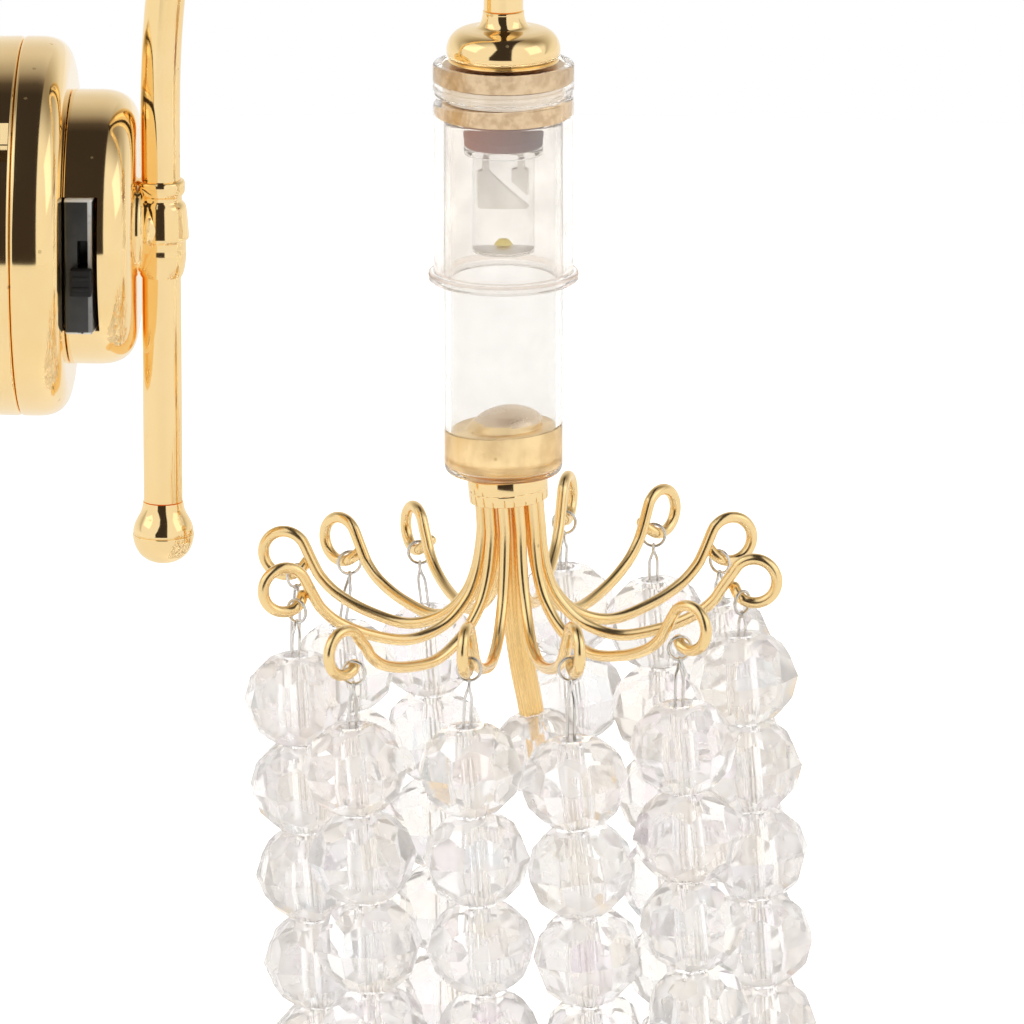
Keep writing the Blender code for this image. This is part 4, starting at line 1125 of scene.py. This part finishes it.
# stem stations: x from the lamp line, z
STEM = ((0.255, -12.95), (0.40, -15.4), (0.58, -18.9), (0.90, -21.5), (1.20, -23.1),
        (1.36, -24.0))
stem_path = catmull([(LAMP_X + x, 0, z) for x, z in STEM], 10)
stem_end = stem_path[-1]
stem_along = (stem_end - stem_path[-12]).normalized()
pin_path = [stem_end + stem_along * (0.03 + 3.95 * k / 20) for k in range(21)]
stem_steps = len(stem_path) - 1
stem_radii = [0.66 - 0.05 * (k / stem_steps) for k in range(stem_steps)] + [0.60]
pin_radii = [0.405 - 0.10 * (k / 20) for k in range(21)]
stem = bar("gold_stem", stem_path + pin_path, stem_radii + pin_radii, 48, GOLD_STEM,
           round_end=True)
stands_for(stem, "center_stem")

# ---------------------------------------------------------------------------------- wire arms
# one row for each arm: azimuth in degrees, height of its eye, radius to its eye,
# drop from the eye to the first bead
ARMS = (
    (78.4, -16.13, 11.4, 5.5), (52.2, -16.19, 11.4, 5.5), (22.7, -16.36, 11.4, 5.3),
    (-4.0, -17.08, 11.8, 4.85), (-39.6, -17.74, 11.4, 6.0), (-72.6, -17.91, 11.4, 6.65),
    (-98.4, -17.86, 11.4, 6.05), (-131.9, -18.82, 11.4, 5.85), (-160.5, -16.98, 11.4, 5.45),
    (167.1, -16.81, 11.4, 7.2), (139.4, -17.35, 11.4, 6.3), (116.9, -17.47, 11.4, 6.1))
FIRST_AZIMUTH, AZIMUTH_STEP = 80.8, 30.0  # even spacing at the collar
ARM_Z, ARM_ROOT_R, ARM_REACH = -13.30, 1.45, 11.4
EYE_R = 1.09
# arm profile: radius, height over ARM_Z
ARM_PROFILE = ((1.43, 0.50), (1.43, -1.0), (1.50, -2.2), (1.75, -3.6), (2.30, -4.9),
               (3.45, -6.1), (5.20, -6.70), (7.20, -6.32), (8.70, -5.65), (9.55, -4.93),
               (9.98, -4.25))
SHIFT_MAX = 0.38


def axis_shift(z):
    """How far the tilted hub line has moved towards +X at a height."""
    return min(SHIFT_MAX, max(0.0, (HUB_Z - z) * math.tan(HUB_TILT)))


def ease(value):
    return value * value * (3 - 2 * value)


def arm_path(i):
    """Out from the collar at an even azimuth, over to the arm's own azimuth, round the eye."""
    azimuth = math.radians(ARMS[i][0])
    eye_z, eye_out = ARMS[i][1:3]
    even = math.radians(FIRST_AZIMUTH - AZIMUTH_STEP * i)
    turn = (azimuth - even + math.pi) % (2 * math.pi) - math.pi
    lift = eye_z - (ARM_Z - 3.9)
    grow = eye_out / ARM_REACH
    flat = []  # radius, height, progress: 0 at the collar, 1 at the eye, more at the eye's end
    for radius, height in ARM_PROFILE:
        along = max(0.0, (radius - ARM_ROOT_R) / (ARM_REACH - ARM_ROOT_R))
        stretched = ARM_ROOT_R + (radius - ARM_ROOT_R) * ((1 - along) + along * grow)
        flat.append(Vector((stretched, ARM_Z + height + lift * along ** 1.5, along)))
    wide_turn = abs(math.cos(azimuth)) > 0.45 and math.sin(azimuth) > -0.5
    for k in range(17):
        degrees = 153.0 - (309.0 if wide_turn else 289.0) * k / 16
        angle = math.radians(degrees)
        flat.append(Vector((eye_out + EYE_R * math.cos(angle), eye_z + EYE_R * math.sin(angle),
                            1.0 + max(0.0, (-118.0 - degrees) / 38.0) ** 1.3)))
    aside = Vector((-math.sin(azimuth), math.cos(azimuth), 0))
    aside = aside * (1.0 if math.cos(azimuth) > 0 else -1.0)
    path = []
    for point in catmull(flat, 6):
        radius, height, progress = point
        angle = even + turn * ease(min(1.0, progress * 4.0))
        place = Vector((LAMP_X + axis_shift(height) + radius * math.cos(angle),
                        radius * math.sin(angle), height))
        path.append(place + aside * (0.40 * max(0.0, progress - 1.0)))
    return path


for i in range(len(ARMS)):
    arm = bar("arm_%02d" % (i + 1), arm_path(i), WIRE_R, 20, GOLD_WIRE, round_end=True)
    stands_for(arm, "wire_arm_%02d" % (i + 1))

# ----------------------------------------------------------------------------------- cut beads
BEAD_R, BEAD_HALF, BEAD_BORE = 2.45, 2.165, 0.50
BEAD_SIDES = 8
# facet rows, each cut above and below: latitude in degrees, turn in facets, distance
FACET_ROWS = ((17.0, 0.0, 2.36), (47.0, 0.5, 2.37), (70.0, 0.0, 2.345))


def bore_tool():
    """A pin that flares at both ends."""
    verts, faces = lathe_data([
        (0, BEAD_HALF + 0.5), (BEAD_BORE + 0.40, BEAD_HALF + 0.5), (BEAD_BORE + 0.10, BEAD_HALF),
        (BEAD_BORE, BEAD_HALF - 0.10), (BEAD_BORE, -BEAD_HALF + 0.10),
        (BEAD_BORE + 0.10, -BEAD_HALF), (BEAD_BORE + 0.40, -BEAD_HALF - 0.5),
        (0, -BEAD_HALF - 0.5)], 44)
    mesh = bpy.data.meshes.new("bore")
    mesh.from_pydata(verts, [], faces)
    shape = bmesh.new()
    shape.from_mesh(mesh)
    bmesh.ops.remove_doubles(shape, verts=shape.verts[:], dist=1e-5)
    bmesh.ops.recalc_face_normals(shape, faces=shape.faces[:])
    shape.to_mesh(mesh)
    shape.free()
    return link_object("bore", mesh)


def cut_bead(name, rng):
    """A ball of flat facets with flat ends and a bore: verts, faces, film value of each face."""
    shape = bmesh.new()
    bmesh.ops.create_cube(shape, size=BEAD_R * 4)
    planes = [(Vector((0, 0, 1)), BEAD_HALF), (Vector((0, 0, -1)), BEAD_HALF)]
    for row_latitude, turn, reach in FACET_ROWS:
        for side in (1, -1):
            for k in range(BEAD_SIDES):
                angle = 2 * math.pi * (k + turn) / BEAD_SIDES + rng.uniform(-0.012, 0.012)
                latitude = math.radians(side * row_latitude) + rng.uniform(-0.012, 0.012)
                normal = Vector((math.cos(latitude) * math.cos(angle),
                                 math.cos(latitude) * math.sin(angle), math.sin(latitude)))
                planes.append((normal, reach * (1 + rng.uniform(-0.004, 0.004))))
    for normal, distance in planes:
        cut = bmesh.ops.bisect_plane(
            shape, geom=shape.verts[:] + shape.edges[:] + shape.faces[:], dist=1e-6,
            plane_co=normal * distance, plane_no=normal, clear_outer=True)["geom_cut"]
        edges = [part for part in cut if isinstance(part, bmesh.types.BMEdge)]
        if edges:
            bmesh.ops.edgeloop_fill(shape, edges=edges)
    bmesh.ops.recalc_face_normals(shape, faces=shape.faces[:])
    mesh = bpy.data.meshes.new(name)
    shape.to_mesh(mesh)
    shape.free()
    ball = link_object(name, mesh)
    tool = bore_tool()
    bored = boolean_mesh(ball, tool, "DIFFERENCE")
    verts = [vert.co.copy() for vert in bored.vertices]
    faces = [tuple(face.vertices) for face in bored.polygons]
    film = []
    for face in bored.polygons:
        inside = math.hypot(face.center.x, face.center.y) < BEAD_BORE + 0.16
        film.append(0.0 if inside else rng.uniform(0.05, 1.0))
    bpy.data.objects.remove(ball)
    bpy.data.objects.remove(tool)
    return verts, faces, film


BEAD_VARIANTS = [cut_bead("bead_cut_%d" % k, random.Random(40 + k)) for k in range(3)]


def place_beads(name, spots, seed):
    """One mesh with a cut bead at each (centre, axis, size)."""
    rng = random.Random(seed)
    verts, faces, film = [], [], []
    for centre, axis, size in spots:
        bead_verts, bead_faces, bead_film = BEAD_VARIANTS[rng.randrange(3)]
        turn = Matrix.Rotation(rng.uniform(0, 2 * math.pi), 4, "Z")
        lean = Vector((0, 0, -1)).rotation_difference(axis).to_matrix().to_4x4()
        wobble = (Matrix.Rotation(rng.uniform(-0.03, 0.03), 4, "X")
                  @ Matrix.Rotation(rng.uniform(-0.03, 0.03), 4, "Y"))
        place = Matrix.Translation(centre) @ lean @ wobble @ turn @ Matrix.Scale(size, 4)
        base = len(verts)
        verts += [place @ vert for vert in bead_verts]
        faces += [tuple(k + base for k in face) for face in bead_faces]
        offset = rng.random()
        film += [0.0 if value == 0.0 else 0.03 + 0.97 * ((value + offset) % 1.0)
                 for value in bead_film]
    mesh = bpy.data.meshes.new(name)
    mesh.from_pydata([tuple(vert * MM) for vert in verts], [], faces)
    mesh.materials.append(GLASS)
    mesh.attributes.new("film", "FLOAT", "FACE").data.foreach_set("value", film)
    shade(mesh, 8.6)
    return link_object(name, mesh)


# --------------------------------------------------------------------- links and bead strings
LINK_R, LINK_WIRE, LINK_AT = 0.56, 0.078, math.radians(-122.0)
LEAN = math.radians(3.8)
LEAN_DIR = Vector((math.sin(LEAN), 0, -math.cos(LEAN)))
PITCH, BEADS = 4.40, 7
STRING_GAP = 4.97  # least distance between neighbouring strings
HOOK_HALF, HOOK_RISE = 0.135, 0.16


def eye_frame(i):
    """Centre of an arm's eye, with the outward and tangent directions there."""
    azimuth, eye_z, eye_out, _ = ARMS[i]
    azimuth = math.radians(azimuth)
    out = Vector((math.cos(azimuth), math.sin(azimuth), 0))
    tangent = Vector((-math.sin(azimuth), math.cos(azimuth), 0))
    return Vector((LAMP_X + SHIFT_MAX, 0, eye_z)) + out * eye_out, out, tangent


def link_frame(i):
    """Centre of a link and the level direction of its plane."""
    centre, out, tangent = eye_frame(i)
    wire = centre + out * (EYE_R * math.cos(LINK_AT)) + Vector((0, 0, EYE_R * math.sin(LINK_AT)))
    level = tangent if tangent.x > 0 else -tangent
    swing = max(-0.60, min(0.60, -math.atan2(level.y, level.x)))
    drop = LINK_R - LINK_WIRE - WIRE_R - 0.03
    return wire + Vector((0, 0, -drop)), Matrix.Rotation(swing, 3, "Z") @ level


def string_heads():
    """Centres of the first beads, pushed apart until neighbours clear each other."""
    flat = []
    for i in range(len(ARMS)):
        centre, out, _ = eye_frame(i)
        place = centre - out * 0.55
        flat.append(Vector((place.x + 0.10, place.y)))
    for _ in range(400):
        for i in range(len(ARMS)):
            j = (i + 1) % len(ARMS)
            gap = flat[j] - flat[i]
            short = STRING_GAP - gap.length
            if short > 0:
                push = gap.normalized() * (short / 2)
                flat[i] = flat[i] - push
                flat[j] = flat[j] + push
    return [Vector((point.x, point.y, arm[1] - arm[3])) for point, arm in zip(flat, ARMS)]


def level_dir(angle):
    return Vector((math.cos(angle), math.sin(angle), 0))


def hairpin(pivot, head, across, rng):
    """Path of a wire that hooks the link and runs down through every bead, twisting slowly."""
    top = head - LEAN_DIR * BEAD_HALF
    bottom = head + LEAN_DIR * (PITCH * (BEADS - 1) + BEAD_HALF + 0.30)
    spread = rng.choice((0.15, 0.17, 0.20))
    start = math.atan2(across.y, across.x)
    finish = rng.uniform(-0.35, 0.35)
    if start - finish > math.pi / 2:
        start -= math.pi
    sway = rng.uniform(-0.7, 0.7)
    hook_foot = pivot + Vector((0, 0, -HOOK_RISE))
    upper_steps, lower_steps = 12, 60
    legs = []
    for side in (1, -1):
        leg = []
        for k in range(upper_steps + 1):
            t = k / upper_steps
            turned = ease(min(1.0, t / 0.42))
            offset = side * (HOOK_HALF + (spread - HOOK_HALF) * turned)
            leg.append(hook_foot.lerp(top, t)
                       + level_dir(start + (finish - start) * turned) * offset)
        for k in range(1, lower_steps + 1):
            t = k / lower_steps
            leg.append(top.lerp(bottom, t)
                       + level_dir(finish + sway * math.sin(t * 5.0)) * (side * spread))
        legs.append(leg)
    foot_side = level_dir(finish + sway * math.sin(5.0)) * spread
    hook, foot = [], []
    for k in range(1, 8):
        angle = math.pi * k / 8
        hook.append(hook_foot + across * (HOOK_HALF * math.cos(angle))
                    + Vector((0, 0, 0.25 * math.sin(angle))))
        foot.append(bottom + foot_side * math.cos(angle) + LEAN_DIR * (0.34 * math.sin(angle)))
    return legs[0][::-1] + hook + legs[1] + foot[::-1]


def bead_spots(i, head, rng):
    spots = []
    for bead in range(BEADS):
        jitter = Vector((rng.uniform(-0.05, 0.05), rng.uniform(-0.05, 0.05), 0.0))
        # the lower beads of two strings are a little smaller
        shrink = 0.972 if i in (5, 6) and bead >= 3 else 1.0
        spots.append((head + LEAN_DIR * (PITCH * bead) + jitter, LEAN_DIR,
                      rng.uniform(0.985, 1.0) * shrink))
    return spots


for i, head in enumerate(string_heads()):
    number = "%02d" % (i + 1)
    rng = random.Random(700 + i)
    centre, level = link_frame(i)
    circle = []
    for k in range(48):
        angle = 2 * math.pi * k / 48
        circle.append(centre + level * (LINK_R * math.cos(angle))
                      + Vector((0, 0, LINK_R * math.sin(angle))))
    link = bar("ring_link_" + number, circle, LINK_WIRE, 12, LINK, closed=True)
    stands_for(link, "wire_ring_" + number)

    string = place_beads("crystal_string_" + number, bead_spots(i, head, rng), 900 + i)
    stands_for(string, "bead_strand_" + number)

    pin = hairpin(centre + Vector((0, 0, -LINK_R)), head, Vector((-level.y, level.x, 0)), rng)
    wire = bar("string_wire_" + number, pin, 0.078, 10, LINK, closed=True)
    rides_with(wire, "bead_strand_" + number)

# crystal at the end of the stem, on its own wire loop
crystal_at = stem_end + stem_along * (1.92 + 0.05)
crystal = place_beads("stem_crystal", [(crystal_at, stem_along, 0.885)], 61)
stands_for(crystal, "stem_bead")
loop_side = Vector((1, 0, 0.2)).normalized()
LOOP_HALF = 0.13
stem_loop = [crystal_at - stem_along * (1.9 - 3.9 * k / 13) + loop_side * LOOP_HALF
             for k in range(14)]
for k in range(1, 8):
    angle = math.pi * k / 8
    stem_loop.append(crystal_at + stem_along * (2.0 + 0.34 * math.sin(angle))
                     + loop_side * (LOOP_HALF * math.cos(angle)))
stem_loop += [crystal_at + stem_along * (2.0 - 3.9 * k / 13) - loop_side * LOOP_HALF
              for k in range(14)]
rides_with(bar("stem_wire", stem_loop, 0.075, 10, LINK, closed=True), "stem_bead")


# -------------------------------------------------------------------------------------- floor
def floor_material():
    """Pale glowing sheet, clear from below."""
    graph = material_graph("floor_pale")
    tone = graph.mix(graph.noise(18.0, detail=4.0), (0.90, 0.90, 0.90), (0.93, 0.93, 0.93))
    rays = graph.node("ShaderNodeLightPath").outputs
    glow = graph.mix(rays["Is Transmission Ray"], 0.40, 0.80, kind="FLOAT")
    glow = graph.mix(rays["Is Camera Ray"], glow, 0.95, kind="FLOAT")
    sheet = graph.principled(Base_Color=tone, Roughness=0.85,
                             Emission_Color=(1.0, 0.995, 0.985), Emission_Strength=glow)
    backfacing = graph.node("ShaderNodeNewGeometry").outputs["Backfacing"]
    clear = graph.node("ShaderNodeBsdfTransparent").outputs[0]
    return graph.finish(graph.mix_shader(backfacing, sheet, clear))


def make_floor():
    """A disc just under the lowest point; its rings lie closer near the centre."""
    rings, segments, disc_r = 24, 96, 0.30 / MM
    centre_x = (CAD_LOW.x + CAD_HIGH.x) / 2 / MM
    z = (CAD_LOW.z - 0.008) / MM
    verts = []
    for j in range(rings + 1):
        radius = disc_r * (j / rings) ** 1.6
        for k in range(segments):
            angle = 2 * math.pi * k / segments
            verts.append((centre_x + radius * math.cos(angle), radius * math.sin(angle), z))
    faces = ring_faces(rings + 1, segments, caps=False)
    floor = build("floor", verts, faces, floor_material(), smooth=60, weld=1e-3)
    if floor.data.polygons[0].normal.z < 0:
        floor.data.flip_normals()


make_floor()

# ------------------------------------------------------------------------------------- studio
CAM_AZIMUTH, CAM_ELEVATION = math.radians(2.3), math.radians(14.5)


def slot_stops():
    """Stops of the open slot: position as angle / 180, colour. Darker greys are warmer."""
    stops = [(0.0, (0.046, 0.036, 0.032))]
    for position, grey in ((0.555, 0.044), (0.605, 0.085), (0.636, 0.23), (0.668, 0.41),
                           (0.711, 0.55), (0.744, 0.66), (0.79, 0.76)):
        lit = min(1.0, grey / 0.5)
        stops.append((position, (grey, grey * (0.80 + 0.16 * lit), grey * (0.72 + 0.20 * lit))))
    return stops + [(0.93, (0.86, 0.85, 0.83))]


def studio_world():
    """A bright fabric tent with a dark slot towards the viewer; the camera sees plain white."""
    world = bpy.data.worlds.new("studio")
    bpy.context.scene.world = world
    graph = Graph(world)
    x, y, z = graph.xyz("Generated")
    cosine, sine = math.cos(CAM_AZIMUTH), math.sin(CAM_AZIMUTH)
    toward = graph.math("SUBTRACT", graph.mul(x, sine), graph.mul(y, cosine))
    across = graph.add(graph.mul(x, cosine), graph.mul(y, sine))
    degrees = 180 / math.pi
    # 0 towards the viewer, 90 overhead, 180 behind
    over = graph.mul(graph.math("ARCTAN2", z, toward), degrees)
    # off the vertical plane through the viewer
    aside = graph.mul(graph.math("ARCSINE", across), degrees)

    # the slot's left edge slants; the other edges are straight
    left_edge = graph.ramp(over, over=(8.0, 42.0), to=(-29.0, -12.0), smooth=False)
    in_left = graph.ramp(graph.math("SUBTRACT", aside, left_edge), over=(-1.2, 1.2))
    in_right = graph.ramp(aside, over=(17.5, 15.0))
    in_low = graph.ramp(over, over=(-11.5, -10.0))
    in_high = graph.ramp(over, over=(170.0, 146.0))
    slot = graph.mul(graph.mul(in_left, in_right), graph.mul(in_low, in_high))

    # behind and above, the back wall is a softer grey that brightens to the horizon
    back = graph.ramp(over, over=(108.0, 135.0))
    wall = graph.mix(graph.ramp(over, over=(120.0, 172.0)), (0.50, 0.465, 0.41),
                     (0.92, 0.91, 0.89))
    tent = graph.mix(graph.ramp(graph.math("ABSOLUTE", aside), over=(10.0, 75.0)),
                     (0.99, 0.985, 0.975), (0.96, 0.955, 0.945))
    overhead = graph.mul(graph.ramp(over, over=(60.0, 105.0)),
                         graph.ramp(graph.math("ABSOLUTE", aside), over=(70.0, 35.0)))
    tent = graph.mix(overhead, tent, (0.31, 0.272, 0.220))
    colour = graph.mix(back, tent, wall)
    slot_colour = graph.colour_ramp(graph.math("DIVIDE", over, 180.0), slot_stops())
    colour = graph.mix(slot, colour, slot_colour)
    low = graph.mul(graph.ramp(over, over=(-10.0, -11.5)), graph.ramp(over, over=(-178.0, -170.0)))
    colour = graph.mix(low, colour, (0.98, 0.975, 0.965))

    # rays through glass see a paler studio
    rays = graph.node("ShaderNodeLightPath").outputs
    soft = graph.mix(0.22, (1.22, 1.21, 1.195), colour)
    colour = graph.mix(rays["Is Transmission Ray"], colour, soft)
    colour = graph.mix(rays["Is Camera Ray"], colour, (1.0, 1.0, 1.0))
    background = graph.node("ShaderNodeBackground")
    graph.put(background.inputs["Color"], colour)
    graph.put(background.inputs["Strength"], 1.0)
    graph.finish(background.outputs[0], "ShaderNodeOutputWorld")


def softbox(name, location, size, power):
    """A square light in metres and watts, aimed at the lamp."""
    data = bpy.data.lights.new(name, "AREA")
    data.shape, data.size, data.energy, data.color = "SQUARE", size, power, (1.0, 0.985, 0.96)
    light = bpy.data.objects.new(name, data)
    light.location = location
    aim = Vector((LAMP_X * MM, 0, -0.01)) - Vector(location)
    light.rotation_mode = "QUATERNION"
    light.rotation_quaternion = aim.to_track_quat("-Z", "Y")
    light.visible_camera = False
    bpy.context.scene.collection.objects.link(light)


studio_world()
softbox("softbox_left", location=(-0.35, -0.10, 0.30), size=0.30, power=0.13)
softbox("softbox_right", location=(0.42, -0.12, 0.22), size=0.25, power=0.08)

# --------------------------------------------------------------------------- camera and render
CAM_DISTANCE = 0.6  # metres
camera_data = bpy.data.cameras.new("camera")
camera_data.sensor_width, camera_data.lens = 36.0, 436.64
camera_data.clip_start, camera_data.clip_end = 0.05, 6.0
camera = link_object("camera", camera_data)
target = Vector((LAMP_X + 0.41, 0, -13.98)) * MM
to_camera = Vector((math.sin(CAM_AZIMUTH) * math.cos(CAM_ELEVATION),
                    -math.cos(CAM_AZIMUTH) * math.cos(CAM_ELEVATION), math.sin(CAM_ELEVATION)))
camera.location = target + to_camera * CAM_DISTANCE
camera.rotation_mode = "QUATERNION"
camera.rotation_quaternion = (-to_camera).to_track_quat("-Z", "Y")

scene = bpy.context.scene
scene.camera = camera
scene.view_settings.view_transform = "Standard"
scene.view_settings.look = "None"
scene.view_settings.exposure = 0.0
scene.view_settings.gamma = 1.0
cycles = scene.cycles
cycles.max_bounces = 36
cycles.transmission_bounces = 32
cycles.glossy_bounces = 10
cycles.diffuse_bounces = 3
cycles.transparent_max_bounces = 16
cycles.caustics_reflective = True
cycles.caustics_refractive = True
cycles.blur_glossy = 0.2
cycles.sample_clamp_indirect = 6.0
cycles.seed = 11
cycles.use_denoising = True
